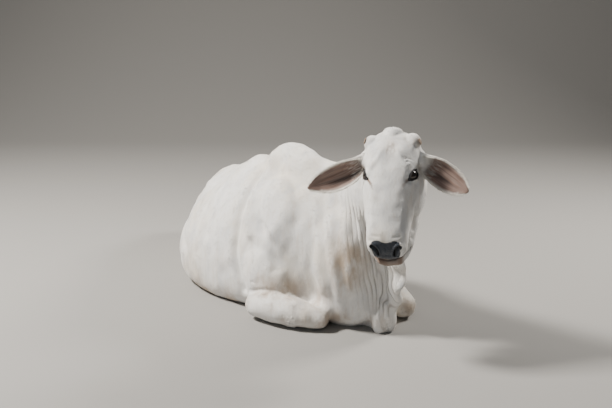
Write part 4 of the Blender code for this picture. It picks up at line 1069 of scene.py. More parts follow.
def eye_masks(local, on_head):
    """The dark margin of the lids, the lines that tears leave, and brown streaks down the forehead."""
    lid, tear = np.zeros((2, len(local)))
    for side in (1, -1):
        a, b, far, ahead = eye_place(local, side)
        close = (far < 0.05) & (ahead > 0)
        out = np.where(close, almond(a, b) + 1.5 * np.maximum(far - EYE_RADIUS - 0.0055, 0), 1.0)
        edge = 0.0042 + 0.0030 * step(a, 0.010, 0.026) + 0.0014 * step(b, 0.0, 0.006)
        lid = np.maximum(lid, step(-out, -edge - 0.0016, -edge + 0.0008) * close)
        look, slit, _ = eye_axes(side)
        corner = np.array(EYE) * (side, 1, 1) + unit(look * 0.45 + slit) * EYE_RADIUS * 1.12
        path = corner + np.array(TEAR_PATH) * (side, 1, 1)
        off, where = off_line(local, snapped(path, local))
        line = np.exp(-(off / (0.0070 - 0.0028 * where)) ** 2) * (1 - 0.70 * where)
        tear = np.maximum(tear, line * TEAR_AMOUNT[side])
    for streak_x in BROW_STREAKS:
        path = ((streak_x, 0.02, 0.028), (streak_x, 0.03, 0.150))
        off, where = off_line(local, snapped(path, local, 24))
        tear += 0.34 * np.exp(-(off / 0.0045) ** 2) * np.sin(np.pi * where)
    return {"lid": lid * on_head, "tear": tear * on_head}


def muzzle_masks(mirrored, on_head):
    """The nose pad between the nostrils and down the slope to the lip, the lips, and where shade is painted: inside
    the nostrils and along the mouth line and its corners.
    """
    x, y, s = mirrored.T
    pad_side = 0.054 - 0.012 * step(-y, 0.050, 0.092)
    pad_top = 0.447 + 0.004 * np.cos(x * 90.0)
    pad = step(-x, -pad_side - 0.003, -pad_side + 0.003) * step(y, -0.0935, -0.0885)
    pad *= step(s, pad_top - 0.003, pad_top + 0.004)
    off, _ = nostril_off(mirrored)
    wing = step(-off, -0.0088, -0.0064) * (s > 0.42)
    hole = step(-off, -0.0072, -0.0042) * (s > 0.42)
    lip = step(-y, 0.086, 0.094) * step(y, -0.150, -0.128) * step(s, 0.450, 0.490)
    lip *= step(-x, -0.068, -0.050)
    off, _ = off_line(mirrored, HEAD_LINES[0][0])
    mouth = np.maximum(np.exp(-(off / 0.0035) ** 2), near(mirrored, MOUTH_CORNER, 0.0062))
    return {"pad": np.maximum(pad, wing) * on_head, "nostril": hole * on_head, "lip": lip * on_head,
            "mouth": mouth * on_head}


def skin_masks(local, co):
    """All masks for points given in head axes and in the layout."""
    mirrored = local.copy()
    mirrored[:, 0] = np.abs(local[:, 0])
    x, y, s = mirrored.T
    on_head = step(s, -0.06, -0.03) * step(y, -0.26, -0.22) * step(-x, -0.37, -0.35)
    masks = ear_masks(local, on_head) | eye_masks(local, on_head) | muzzle_masks(mirrored, on_head)
    masks["bud"] = 0.9 * near(mirrored, BUD_TIP, BUD_REACH) * on_head
    low = step(-co[:, 2], -0.15, -0.01) * (1 - on_head)
    dirt = pressed(mirrored, HEAD_DIRT) * on_head + pressed(co, DIRT)
    masks["dirt"] = dirt + 0.55 * low * (0.6 + 0.4 * waves(co, 0.12, seed=31))
    count, reach = neck_folds(co)
    masks["fold_reach"] = reach * (1 - step(y, -0.245, -0.222) * on_head)
    masks["fold_count"] = count
    masks["head"] = on_head
    return masks


print(len(DIRT) + len(HEAD_DIRT), "smudges of dust,", len(BROW_STREAKS), "streaks on the forehead")

# %% The masks kept on the skin
co = points_of(body)
local = to_head(co)
for name, values in skin_masks(local, co).items():
    keep_mask(body, name, values)
# hair runs back along the topline and down on the flanks and legs
up_from = normals_of(body)
keep_mask(body, "downward", step(np.abs(up_from[:, 0]) + 0.6 * np.abs(up_from[:, 1]), 0.25, 0.70))
keep_mask(body, "face_place", local)
print("masks", [a.name for a in body.data.attributes if a.data_type == "FLOAT"])

# %% [markdown]
# ## Finishes
#
# A coat with so many marks needs dozens of nodes, which are hard to follow as a drawing. Node maths reads
# best as formulas. `Wire` holds a socket and turns + - * and ** into Math nodes. `Finish` makes a
# material and adds every other kind of node with one method.


# %% Formulas on sockets
class Wire:
    """An output socket that sums and products can be written with."""

    def __init__(self, finish, socket):
        self.finish, self.socket = finish, socket

    def maths(self, operation, *values):
        return self.finish.node("ShaderNodeMath", {"operation": operation}, dict(enumerate(values)))

    def __add__(self, other):
        return self.maths("ADD", self, other)

    def __mul__(self, other):
        return self.maths("MULTIPLY", self, other)

    def __sub__(self, other):
        return self.maths("SUBTRACT", self, other)

    def __rsub__(self, other):
        return self.maths("SUBTRACT", other, self)

    def __pow__(self, other):
        return self.maths("POWER", self, other)

    __radd__, __rmul__ = __add__, __mul__

    def __abs__(self):
        return self.maths("ABSOLUTE", self)

    def sine(self):
        return self.maths("SINE", self)

    def or_more(self, other):
        """The larger of the two."""
        return self.maths("MAXIMUM", self, other)

    def between(self, low, high):
        """0 below low, 1 above high, smooth in the middle."""
        settings = {"interpolation_type": "SMOOTHSTEP"}
        return self.finish.node("ShaderNodeMapRange", settings, {0: self, 1: low, 2: high})


class Finish:
    """A material on a Principled shader whose fixed numbers are given by name."""

    def __init__(self, name, **fixed):
        self.material = bpy.data.materials.new(name)
        self.material.use_nodes = True
        self.tree = self.material.node_tree
        self.shader = self.tree.nodes["Principled BSDF"]
        for key, value in fixed.items():
            self.feed(self.shader.inputs[key.replace("_", " ").title().replace("Ior", "IOR")], value)

    def feed(self, socket, value):
        if isinstance(value, Wire):
            self.tree.links.new(value.socket, socket)
        elif isinstance(value, (tuple, list)) and socket.type == "RGBA":
            socket.default_value = (*value[:3], 1.0)
        else:
            socket.default_value = value

    def node(self, kind, settings=None, inputs=None, output=0):
        """Adds a node: its settings first, then its sockets."""
        made = self.tree.nodes.new(kind)
        for key, value in (settings or {}).items():
            setattr(made, key, value)
        for key, value in (inputs or {}).items():
            self.feed(made.inputs[key], value)
        return Wire(self, made.outputs[output])

    def mask(self, name):
        return self.node("ShaderNodeAttribute", {"attribute_name": name}, output="Fac")

    def place(self, scale=(1, 1, 1), name=None):
        """Object coordinates, or a vector attribute, stretched."""
        if name:
            where = self.node("ShaderNodeAttribute", {"attribute_name": name}, output="Vector")
        else:
            where = self.node("ShaderNodeTexCoord", output="Object")
        return self.node("ShaderNodeMapping", {}, {"Vector": where, "Scale": scale})

    def noise(self, where, scale=1.0, detail=2.0, rough=0.5):
        sockets = {"Vector": where, "Scale": scale, "Detail": detail, "Roughness": rough}
        return self.node("ShaderNodeTexNoise", {}, sockets, output="Fac")

    def blend(self, share, first, second):
        """Colour: first where share is 0, second where it is 1."""
        return self.node("ShaderNodeMix", {"data_type": "RGBA"}, {0: share, 6: first, 7: second}, output=2)

    def bump(self, height, distance, strength=1.0, normal=None):
        sockets = {"Height": height, "Distance": distance, "Strength": strength}
        if normal is not None:
            sockets["Normal"] = normal
        return self.node("ShaderNodeBump", {}, sockets)

    def wear(self, **linked):
        """Feeds the shader's changing inputs."""
        for key, value in linked.items():
            self.feed(self.shader.inputs[key.replace("_", " ").title()], value)


def dressed(obj, finish):
    """Gives an object its finish and smooth shading."""
    obj.data.materials.clear()
    obj.data.materials.append(finish.material)
    obj.data.polygons.foreach_set("use_smooth", np.ones(len(obj.data.polygons), bool))
    return obj


# %% [markdown]
# ## The coat
#
# A white coat is never one white: it is creamy in places, cooler in others, and streaked the way the
# hair lies. The hair itself is too fine to model over the whole body. Noise that is stretched along
# its lie gives the strokes, in the colour and as bump, and the masks then lay dust, bare skin, stains
# and painted shade (in the fold valleys, the mouth line and the nostrils) over it in the order in which
# they cover each other.

# %% The coat
WHITE, CREAM, COOL = (0.83, 0.81, 0.775), (0.77, 0.71, 0.61), (0.60, 0.61, 0.62)
# the last colour here is painted shade for the line between the lips
OCHRE, BROWN, MOUTH_SHADE = (0.42, 0.285, 0.165), (0.16, 0.085, 0.045), (0.022, 0.020, 0.021)
SLATE, LIP_BROWN, EAR_SKIN = (0.028, 0.036, 0.050), (0.20, 0.125, 0.085), (0.24, 0.135, 0.100)
EAR_RIB, EAR_PALE, EAR_RIM = (0.095, 0.055, 0.045), (0.34, 0.245, 0.20), (0.78, 0.73, 0.66)
EAR_DARK, FOLD_SHADE, STAIN = (0.040, 0.028, 0.026), (0.38, 0.33, 0.30), (0.60, 0.49, 0.38)
# the last colour here is painted shade for the insides of the nostrils
LID_DARK, NOSTRIL_SHADE = (0.040, 0.036, 0.038), (0.004, 0.004, 0.004)

coat = Finish("white_coat", roughness=0.72, specular_ior_level=0.25, sheen_weight=0.25, sheen_roughness=0.5)
back = coat.noise(coat.place((330, 42, 330)), detail=3, rough=0.6)
down = coat.noise(coat.place((330, 330, 42)), detail=3, rough=0.6)
face = coat.noise(coat.place((420, 420, 60), "face_place"), detail=3, rough=0.6)
flows = coat.mask("downward")
hair = back * (1 - flows) + down * flows
on_face = coat.mask("head")
hair = hair * (1 - on_face) + face * on_face
broad = coat.noise(coat.place(), 3.2, 3.0, 0.55)
patchy = coat.noise(coat.place((1, 1, 0.45)), 16.0, 4.0, 0.6)
streaky = coat.noise(coat.place((60, 60, 9)), 1.0, 3.0, 0.6)
tone = coat.blend(broad.between(0.42, 0.66) * 0.9, WHITE, CREAM)
tone = coat.blend(patchy.between(0.44, 0.72) * 0.60, tone, COOL)
tone = coat.blend(streaky.between(0.46, 0.80) * 0.40, tone, STAIN)
tone = coat.blend(hair.between(0.35, 0.70) * -0.16 + 0.16, tone, COOL)
dirt = coat.mask("dirt") * (patchy.between(0.30, 0.62) * 0.75 + 0.25)
tone = coat.blend(dirt.between(0.02, 0.85) * 0.80, tone, OCHRE)
# pleats: |sin(pi n)| with n the count of folds, darker in the valleys
pleat = abs((coat.mask("fold_count") * math.pi).sine())
pleats = coat.mask("fold_reach")
tone = coat.blend((1 - pleat.between(0.05, 0.60)) * pleats * 0.50, tone, FOLD_SHADE)
tone = coat.blend(coat.mask("bud") * 0.75, tone, BROWN)
tears = (coat.mask("tear") * 1.5).between(0.0, 1.0) * (0.70 + 0.30 * patchy.between(0.3, 0.6))
tone = coat.blend(tears, tone, BROWN)
# inside the ears the skin runs in ribs along the ear
inner = coat.mask("ear_inner")
ribs = coat.noise(coat.place((3.5, 26, 60), "ear_map"), detail=4, rough=0.6)
lobes = coat.noise(coat.place((2.0, 7, 10), "ear_map"), detail=2)
ear_tone = coat.blend(ribs.between(0.36, 0.62), EAR_SKIN, EAR_RIB)
ear_tone = coat.blend(lobes.between(0.40, 0.70) * 0.55, ear_tone, EAR_PALE)
tone = coat.blend(inner * 0.95, tone, ear_tone)
streak = coat.mask("ear_streak") * (0.55 + 0.45 * ribs.between(0.3, 0.6)) * inner
tone = coat.blend(streak, tone, EAR_DARK)
tone = coat.blend(coat.mask("ear_rim") * 0.85, tone, EAR_RIM)
# bare damp skin: lip, nose pad with its pebbles and lids; then painted shade along the mouth line and inside the
# nostrils
tone = coat.blend(coat.mask("lip") * (0.80 + 0.15 * patchy.between(0.35, 0.65)), tone, LIP_BROWN)
pad = coat.mask("pad").between(0.35, 0.65)
pebbles = coat.node("ShaderNodeTexVoronoi", {"feature": "DISTANCE_TO_EDGE"},
                    {"Vector": coat.place((1, 1, 1), "face_place"), "Scale": 330.0})
tone = coat.blend(pad, tone, SLATE)
dark_skin = coat.mask("lid").between(0.3, 0.7)
tone = coat.blend(dark_skin, tone, LID_DARK)
# painted shade along the mouth line and in its corners
tone = coat.blend(coat.mask("mouth") * 0.85, tone, MOUTH_SHADE)
# painted shade inside the nostrils
tone = coat.blend(coat.mask("nostril"), tone, NOSTRIL_SHADE)
bare = pad.or_more(dark_skin)
rough = 0.74 - bare * 0.40 - inner * 0.12
height = hair * (1 - bare) * (1 - inner * 0.4) + pebbles.between(0.0, 0.30) * bare * 0.8
folded = coat.bump(pleat**0.6 * pleats, 0.0075)
coat.wear(base_color=tone, roughness=rough, normal=coat.bump(height, 0.0022, 0.75, folded))
dressed(body, coat)
print("coat nodes", len(coat.tree.nodes))

# %% [markdown]
# ## Eyes
#
# The eyeball is a sphere with a clearer dome in front. Cattle eyes look black from afar: a dark brown
# iris with a pupil drawn out sideways, little white. The colours are masks on the ball's own angles, so
# that they turn with the eye, and a clear coat makes it wet. A rim of dark skin follows the margin of the
# lids, as a thin closed tube, because it has to catch the light all round the ball.


# %% Eyeballs and lid rims
IRIS_ANGLE = 1.2  # radians from the middle of the eye at which its mask reaches 1
PUPIL = (0.46, 0.24)  # half length along the slit and half height, in radii
LID_CURVE = 1.6  # how pointed the corners of the slit are


def eyeball(side, rings=72, around=72):
    """r(v) = R - 1.2 mm + 1.4 mm exp(-(v / 0.5)^2), v the angle from the way the eye looks."""
    look, slit, up = eye_axes(side)
    v = np.linspace(0, np.pi, rings)[:, None]
    u = np.linspace(0, 2 * np.pi, around, endpoint=False)[None]
    radius = EYE_RADIUS - 0.0012 + 0.0014 * np.exp(-((v / 0.5) ** 2))
    across, high = np.sin(v) * np.cos(u), np.sin(v) * np.sin(u)
    ray = np.cos(v)[..., None] * look + across[..., None] * slit + high[..., None] * up
    grid = np.array(EYE) * (side, 1, 1) + ray * radius[..., None]
    return grid, across, high, np.broadcast_to(v, (rings, around))


def tube(path, width, height, ahead, ring=10):
    """An elliptic profile carried round a closed path; height lies along the ahead vectors."""
    run = unit(np.roll(path, -1, 0) - np.roll(path, 1, 0))
    wide = unit(np.cross(run, ahead))
    q = np.linspace(0, 2 * np.pi, ring, endpoint=False)[None, :, None]
    return path[:, None] + np.cos(q) * width * wide[:, None] + np.sin(q) * height * ahead[:, None]


def as_skin(name, grid, wrap=False, merge=1e-6):
    """A grid of points in the layout as an object in the frame; wrap joins the last row to the first."""
    count, ring = grid.shape[:2]
    faces = grid_faces(count, ring)
    if wrap:
        j = np.arange(ring)
        k = (j + 1) % ring
        faces = np.vstack((faces, np.stack(((count - 1) * ring + j, j, k, (count - 1) * ring + k), -1)))
    return mesh_object(name, grid.reshape(-1, 3) + SHIFT, faces, merge=merge)


def eye_shell(side, a, b, lift):
    """Points on the eyeball at the given distances along the slit and up the lid."""
    look, slit, up = eye_axes(side)
    far = np.hypot(a, b)
    angle = far / EYE_RADIUS
    flat = (a[:, None] * slit + b[:, None] * up) / np.maximum(far, 1e-9)[:, None]
    ray = np.cos(angle)[:, None] * look + np.sin(angle)[:, None] * flat
    return np.array(EYE) * (side, 1, 1) + ray * (EYE_RADIUS + lift), ray


def margin(t):
    """The lid margin as a closed curve: a = L cos t, b = H |sin t|^1.6 with the sign of sin t."""
    tall = np.where(np.sin(t) >= 0, LID_UP, LID_LOW)
    return LID_HALF * np.cos(t), np.sign(np.sin(t)) * tall * np.abs(np.sin(t)) ** LID_CURVE


eye_finish = Finish("eye", roughness=0.06, specular_ior_level=0.6, coat_weight=1.0, coat_roughness=0.02)
iris_at = eye_finish.mask("from_middle")
pupil_at = eye_finish.mask("pupil")
fibres = eye_finish.noise(eye_finish.place((1, 1, 1)), 900.0, 2.0)
iris = eye_finish.blend(fibres.between(0.3, 0.7), (0.020, 0.011, 0.007), (0.045, 0.026, 0.015))
eye_tone = eye_finish.blend(iris_at.between(0.74, 0.86), iris, (0.10, 0.075, 0.065))
eye_tone = eye_finish.blend(pupil_at.between(0.85, 1.0), (0.002, 0.002, 0.003), eye_tone)
eye_finish.wear(base_color=eye_tone)
rim_finish = Finish("lid_rim", base_color=(0.014, 0.012, 0.013), roughness=0.28, specular_ior_level=0.5)
eyes, rims = {}, {}
for side, word in ((1, "left"), (-1, "right")):
    grid, across_slit, up_lid, angle = eyeball(side)
    eye = as_skin("eyeball_" + word, from_head(grid), merge=0)
    keep_mask(eye, "from_middle", angle.ravel() / IRIS_ANGLE)
    keep_mask(eye, "pupil", np.hypot(across_slit / PUPIL[0], up_lid / PUPIL[1]).ravel())
    a, b = margin(np.linspace(0, 2 * np.pi, 96, endpoint=False))
    path, ray = eye_shell(side, a * 1.01, b * 1.04, 0.0016)
    rim = as_skin("lid_rim_" + word, from_head(tube(path, 0.0019, 0.0021, ray)), wrap=True)
    eyes[word], rims[word] = dressed(eye, eye_finish), dressed(rim, rim_finish)
print("eyeballs of", len(eye.data.polygons), "faces, rims of", len(rim.data.polygons))

# %% [markdown]
# ## Hooves
#
# A hoof is two claws side by side, hard horn that widens to the ground and slopes at the toe, with rings
# of growth. Folded under, only parts of them show, but they are whole. Each claw is a loft with a ripple
# along it, and a fine remesh joins the two where they touch and rounds their edges as wear does.


# %% Hooves
# each hoof and the limb that it ends
HOOVES = {
    "hoof_front_right": "cannon_right", "hoof_front_left": "cannon_left",
    "hoof_hind_left": "hind_cannon_left", "hoof_hind_right": "hind_cannon_right",
}
# slices of a claw: share of its length, share of its half width, height above and below
CLAW = ((-0.16, 0.70, 0.020, 0.018), (0.06, 1.0, 0.032, 0.034), (0.35, 1.02, 0.026, 0.036),
        (0.70, 0.90, 0.014, 0.036), (0.95, 0.55, 0.000, 0.034))
CLAW_LENGTH, CLAW_HALF = 0.085, 0.021
HOOF_VOXEL, LOWEST_HOOF = 0.0018, 0.0005


def claw_grid(end, heading, side):
    """One claw: rings square to the heading, ridged by 1 + 0.012 sin(70 t) sin(pi t) along it."""
    run = unit(np.array(heading, float))
    wide = np.cross(run, (0, 0, 1.0))
    base = end + wide * side * (CLAW_HALF - 0.002)
    rows = []
    for t, w, top, low in CLAW:
        p = base + run * t * CLAW_LENGTH - wide * side * 0.004 * max(t, 0)
        rows.append((*p, CLAW_HALF * w, CLAW_HALF * w, max(top, 0.004), low, 2.4, 3.2, 0))
    grid = loft(rows, ring=40, per=10, cap=0.15, cap_rings=3)
    middle = grid.mean(1, keepdims=True)
    t = np.linspace(0, 1, len(grid))[:, None, None]
    return middle + (grid - middle) * (1 + 0.012 * np.sin(t * 70) * np.sin(np.pi * t))


horn = Finish("hoof_horn", roughness=0.48, specular_ior_level=0.4)
grain = horn.noise(horn.place((1, 1, 1)), 60.0, 4.0, 0.6)
horn_tone = horn.blend(grain.between(0.35, 0.70), (0.030, 0.027, 0.026), (0.12, 0.10, 0.085))
dusty = horn.noise(horn.place(), 22.0, 3.0)
horn_tone = horn.blend(dusty.between(0.5, 0.8) * 0.5, horn_tone, (0.33, 0.25, 0.18))
horn.wear(base_color=horn_tone, normal=horn.bump(grain, 0.001, 0.5))
hooves = {}
for name, limb in HOOVES.items():
    a, b = np.array(LIMBS[limb][-2][:3]), np.array(LIMBS[limb][-1][:3])
    heading = (b - a) * (1, 1, 0)
    end = b + unit(heading) * 0.012
    claws = gathered([claw_grid(end, heading, side) for side in (1, -1)])
    hoof = mesh_object(name + "_claws", *claws, merge=1e-5)
    fused(hoof, HOOF_VOXEL, 2)
    hoof_co = points_of(hoof)
    hoof_co[:, 2] = np.maximum(hoof_co[:, 2], LOWEST_HOOF)
    put(hoof, hoof_co + SHIFT)
    hooves[name] = dressed(hoof, horn)
print({name: len(obj.data.polygons) for name, obj in hooves.items()})

# %% [markdown]
# ## Horn buds
#
# This young cow has buds for horns: each is a skin-covered knob with a worn brown cap on its outer side.
# The knob is part of the skin. The cap is horn, so it is a piece of its own, a shallow dome whose back is
# sunk in the knob.


# %% Caps of the buds
def bud_cap(side, rings=14, around=36):
    """A shallow dome: r = 13 mm sin(v), height 2.8 mm cos(v), roughened, set on the knob's outer side."""
    centre = np.array((0.077 * side, -0.046, 0.056))
    out = unit(np.array((0.93 * side, 0.22, -0.20)))
    wide = unit(np.cross(out, (0, 1.0, 0)))
    high = np.cross(wide, out)
    v = np.linspace(0, np.pi, rings)[:, None]
    u = np.linspace(0, 2 * np.pi, around, endpoint=False)[None]
    r = 0.0130 * (1 + 0.08 * np.sin(3 * u + 1) + 0.05 * np.sin(7 * u)) * np.sin(v)
    h = 0.0028 * np.cos(v) * (1 + 0.2 * np.sin(5 * u + 2 * v))
    base = centre + out * 0.0322
    return base + (r * np.cos(u))[..., None] * wide + (r * np.sin(u))[..., None] * high + h[..., None] * out


cap_finish = Finish("bud_cap", roughness=0.7)
flakes = cap_finish.noise(cap_finish.place(), 260.0, 4.0, 0.65)
cap_tone = cap_finish.blend(flakes.between(0.3, 0.7), (0.13, 0.085, 0.055), (0.36, 0.27, 0.20))
cap_finish.wear(base_color=cap_tone, normal=cap_finish.bump(flakes, 0.0012, 0.8))
caps = {}
for side, word in ((1, "left"), (-1, "right")):
    caps[word] = dressed(as_skin("bud_cap_" + word, from_head(bud_cap(side))), cap_finish)
print("bud caps of", len(caps["left"].data.polygons), "faces")

# %% [markdown]
# ## Hair
#
# The coat is short and lies flat, so most of it is bump. Small tufts lie over it on every side, and longer
# ones stand where the form breaks: the poll, the ear rims, the elbow, the knees and the edge of the
# dewlap. Blender's hair curves would be quick to comb, but they aren't meshes, and these pieces must be.
# So a lock is a tapered three-sided solid of a few triangles, and all locks are worked out at once.
# With t from 0 to 1 along a lock of length L, its middle is
# root + L (t cos(lean) flow + (t sin(lean) + bend t^2) out + curl sin(1.5 pi t) across), and its half
# width is w f(t).


# %% Locks
LOWEST_HAIR = 0.0006  # no hair comes nearer to the ground than this


def locks(root, out, flow, length, width, lean, bend=0.0, curl=0.0, rings=3, flat=0.55):
    """Points (lock, 3 rings + 1, 3) and triangles of many locks at once."""
    n = len(root)
    length, width, lean, bend, curl = (
        np.broadcast_to(v, n)[:, None] for v in (length, width, lean, bend, curl))
    flow = unit(flow - out * (flow * out).sum(1)[:, None])
    across = np.cross(out, flow)
    t = np.linspace(0, 1, rings + 1)[None]
    ahead, up = t * np.cos(lean), t * np.sin(lean) + bend * t * t
    aside = curl * np.sin(t * np.pi * 1.5)
    middle = root[:, None] + length[..., None] * (
        ahead[..., None] * flow[:, None] + up[..., None] * out[:, None] + aside[..., None] * across[:, None])
    # the root starts inside the skin
    middle -= (0.6 * width[..., None]) * out[:, None] * (1 - t)[..., None]
    half = width * np.interp(t[0], (0, 0.3, 0.7, 1), (0.8, 1.0, 0.72, 0.12))[None]
    corner = np.array(((1, 0), (-1, 0), (0, 1.0)))
    offset = (corner[None, None, :, :1] * across[:, None, None]
              + corner[None, None, :, 1:] * flat * out[:, None, None]) * half[:, :, None, None]
    points = (middle[:, :-1, None] + offset[:, :-1]).reshape(n, -1, 3)
    points = np.concatenate((points, middle[:, -1:]), axis=1)
    tri = [(0, 2, 1)]
    for k in range(rings - 1):
        for j in range(3):
            a, b, c, d = 3 * k + j, 3 * k + (j + 1) % 3, 3 * k + 3 + (j + 1) % 3, 3 * k + 3 + j
            tri += [(a, b, c), (a, c, d)]
    last = 3 * (rings - 1)
    tri += [(last, last + 1, 3 * rings), (last + 1, last + 2, 3 * rings), (last + 2, last, 3 * rings)]
    each = points.shape[1]
    faces = (np.array(tri)[None] + (np.arange(n) * each)[:, None, None]).reshape(-1, 3)
    a, b, c = (points[:1, [f[k] for f in tri]][0] for k in range(3))
    if (a * np.cross(b, c)).sum() < 0:
        faces = faces[:, ::-1]
    points = points.reshape(-1, 3)
    return points, faces, each


def lock_object(name, made, patch, finish):
    """Locks as a closed mesh; each has its own patch 0.003 across in the map OFBake."""
    points, faces, each = made
    obj = from_arrays(name, points + SHIFT, faces)
    rings = (each - 1) // 3
    u = np.append(np.tile((-1.0, 1.0, 0.0), rings), 0.0) * 0.0014
    v = np.append(np.repeat(np.linspace(-1, 0.6, rings), 3), 1.0) * 0.0014
    place = np.repeat(patch, each, axis=0) + np.tile(np.stack((u, v), 1), (len(patch), 1))
    layer = obj.data.uv_layers.new(name="OFBake")
    layer.data.foreach_set("uv", place[faces.ravel()].astype(np.float32).ravel())
    return dressed(obj, finish)


def unwrapped(co, local):
    """A map of the skin: the body rolled out round its length below, the head and ears above."""
    round_body = np.arctan2(co[:, 0] - 0.05, co[:, 2] - 0.25) / (2 * np.pi) + 0.5
    body_map = np.stack((0.02 + 0.96 * round_body, 0.02 + 0.50 * (co[:, 1] + 0.75) / 1.95), 1)
    round_head = np.arctan2(local[:, 0], local[:, 1] + 0.11) / (2 * np.pi) + 0.5
    head_map = np.stack((0.02 + 0.46 * round_head, 0.56 + 0.42 * (local[:, 2] + 0.05) / 0.60), 1)
    ear_up = 0.56 + 0.20 * (local[:, 2] + 0.05) / 0.40 + 0.22 * (local[:, 0] > 0)
    ear_side = 0.52 + 0.40 * (np.abs(local[:, 0]) - 0.09) / 0.27
    spread = np.where(local[:, 1] > -0.09, 0.0, 0.03)
    ear_map = np.stack((ear_side + spread, ear_up), 1)
    on_head = (local[:, 2] > -0.05) & (local[:, 1] > -0.24)
    on_ear = on_head & (np.abs(local[:, 0]) > 0.11)
    place = np.where(on_head[:, None], head_map, body_map)
    return np.clip(np.where(on_ear[:, None], ear_map, place), 0, 1)


# %% Where hair grows and which way it lies
skin_co, skin_faces, skin_out = points_of(body), faces_of(body, 3), normals_of(body)
skin_values = {}
for layer in body.data.attributes:
    if layer.domain != "POINT" or layer.name == "position" or layer.name.startswith("."):
        continue
    if layer.data_type in ("FLOAT", "FLOAT_VECTOR"):
        size = 1 if layer.data_type == "FLOAT" else 3
        flat_values = np.empty(len(skin_co) * size, np.float32)
        layer.data.foreach_get("value" if size == 1 else "vector", flat_values)
        skin_values[layer.name] = flat_values.reshape(-1, size)


def sown(count, density, seed):
    """Random roots on the skin, as many in each triangle as its area times the density there."""
    rng = np.random.default_rng(seed)
    a, b, c = (skin_co[skin_faces[:, k]] for k in range(3))
    area = np.linalg.norm(np.cross(b - a, c - a), axis=1)
    share = area * density[skin_faces].mean(1)
    pick = rng.choice(len(skin_faces), count, p=share / share.sum())
    w = rng.dirichlet((1, 1, 1), count)
    blend = {k: (v[skin_faces[pick]] * w[..., None]).sum(1) for k, v in skin_values.items()}
    root = (skin_co[skin_faces[pick]] * w[..., None]).sum(1)
    out = unit((skin_out[skin_faces[pick]] * w[..., None]).sum(1))
    return root, out, blend, rng


def lie_of_coat(root, local):
    """Backwards and down over the body, down each limb, down the face from the brow, out along the ears."""
    flow = np.tile((0.0, 0.80, -0.55), (len(root), 1))
    front = step(-root[:, 1], 0.42, 0.60)[:, None]
    flow = flow * (1 - front) + np.array((0.0, 0.25, -1.0)) * front
    for path in LIMBS.values():
        line = np.array([row[:3] for row in path])
        off, where = off_line(root, line)
        heading = np.diff(line, axis=0)[np.clip((where * (len(line) - 1)).astype(int), 0, len(line) - 2)]
        share = step(-off, -0.11, -0.08)[:, None]
        flow = flow * (1 - share) + unit(heading) * share
    on_head = (step(local[:, 2], -0.03, 0.03) * step(local[:, 1], -0.23, -0.19))[:, None]
    down_face = np.stack((0.25 * np.sign(local[:, 0]) * step(-local[:, 1], 0.04, 0.10), 0 * local[:, 0],
                          np.where(local[:, 2] > 0.15, 1.0, -1.0)), 1)
    on_ear = step(np.abs(local[:, 0]), 0.11, 0.13)[:, None]
    out_ear = np.stack((np.sign(local[:, 0]), 0 * local[:, 0], np.full(len(root), 0.5)), 1)
    head_flow = (down_face * (1 - on_ear) + out_ear * on_ear) @ AXES
    return unit(flow * (1 - on_head) + head_flow * on_head)


def carried(obj, blend, each):
    """Gives each lock the skin's masks at its root, so that skin and coat have the same markings."""
    for name, values in blend.items():
        size = values.shape[1]
        layer = obj.data.attributes.new(name, "FLOAT" if size == 1 else "FLOAT_VECTOR", "POINT")
        flat_values = np.repeat(values, each, axis=0).astype(np.float32).ravel()
        layer.data.foreach_set("value" if size == 1 else "vector", flat_values)


bare_skin = sum(skin_values[k][:, 0] for k in ("pad", "lip", "lid", "ear_inner", "nostril", "mouth", "bud"))
plain = np.clip(1 - 2.0 * bare_skin, 0, 1) * step(skin_co[:, 2], 0.004, 0.010)
print("hair grows on", int((plain > 0.5).sum()), "of", len(plain), "points")

# %% Short tufts over the whole coat
SHORT_TUFTS = 44000
# places where hair is longer and stands out: centre, radius, length, lean in degrees
SHAGGY = (
    ((-0.205, -0.345, 0.012), 0.045, 0.026, 12), ((-0.27, -0.15, 0.05), 0.050, 0.020, 8),
    ((0.25, -0.55, 0.05), 0.050, 0.018, 10), ((-0.11, -0.42, 0.04), 0.045, 0.018, 10),
    ((0.085, -0.60, 0.03), 0.060, 0.024, 12), ((0.115, -0.64, 0.30), 0.060, 0.016, 10),
    ((0.30, 1.03, 0.30), 0.080, 0.020, 8), ((0.54, 0.80, 0.07), 0.060, 0.018, 8),
)
# tufts stand closer on the head, where they are shorter
closer = 1.0 + 1.6 * skin_values["head"][:, 0]
root, out, blend, rng = sown(SHORT_TUFTS, plain * closer, 41)
local = to_head(root)
head_here = blend["head"][:, 0]
length = rng.uniform(0.009, 0.015, len(root)) * (1 - 0.45 * head_here)
lean = np.radians(rng.uniform(1, 4, len(root)))
for centre, radius, longer, angle in SHAGGY:
    share = near(root, centre, radius)
    length = length * (1 - share) + share * longer * rng.uniform(0.6, 1.1, len(root))
    lean = np.maximum(lean, share * np.radians(angle) * rng.uniform(0.5, 1.3, len(root)))
crest = near(local, (0.0, -0.045, -0.005), 0.040)
length += 0.005 * crest
lean += np.radians(4) * crest
flow = lie_of_coat(root, local) + 0.16 * rng.normal(size=root.shape)
flow[:, 2] *= step(root[:, 2], 0.0, 0.040)  # hair turns aside along the ground
width = length * 0.070 + 0.00030
made = locks(root, out, flow, length, width, lean, bend=-0.02, flat=0.35)
made[0][:, 2] = np.maximum(made[0][:, 2], LOWEST_HAIR)
# hair hides the bare skin that it stands beside
for name in ("ear_inner", "ear_streak", "lid", "pad", "nostril", "lip", "mouth"):
    blend[name] = 0 * blend[name]
tufts = lock_object("coat_tufts", made, unwrapped(root, local), coat)
carried(tufts, blend, made[2])
print("short tufts", len(tufts.data.polygons), "triangles")

# %% Ear rims and ear hair
EDGE_HAIRS, CUP_HAIRS = 520, 170
pale_hair = Finish("pale_hair", base_color=(0.80, 0.765, 0.70), roughness=0.6, specular_ior_level=0.3)
dark_hair = Finish("dark_hair", base_color=(0.016, 0.013, 0.012), roughness=0.42, specular_ior_level=0.45)
rng = np.random.default_rng(7)


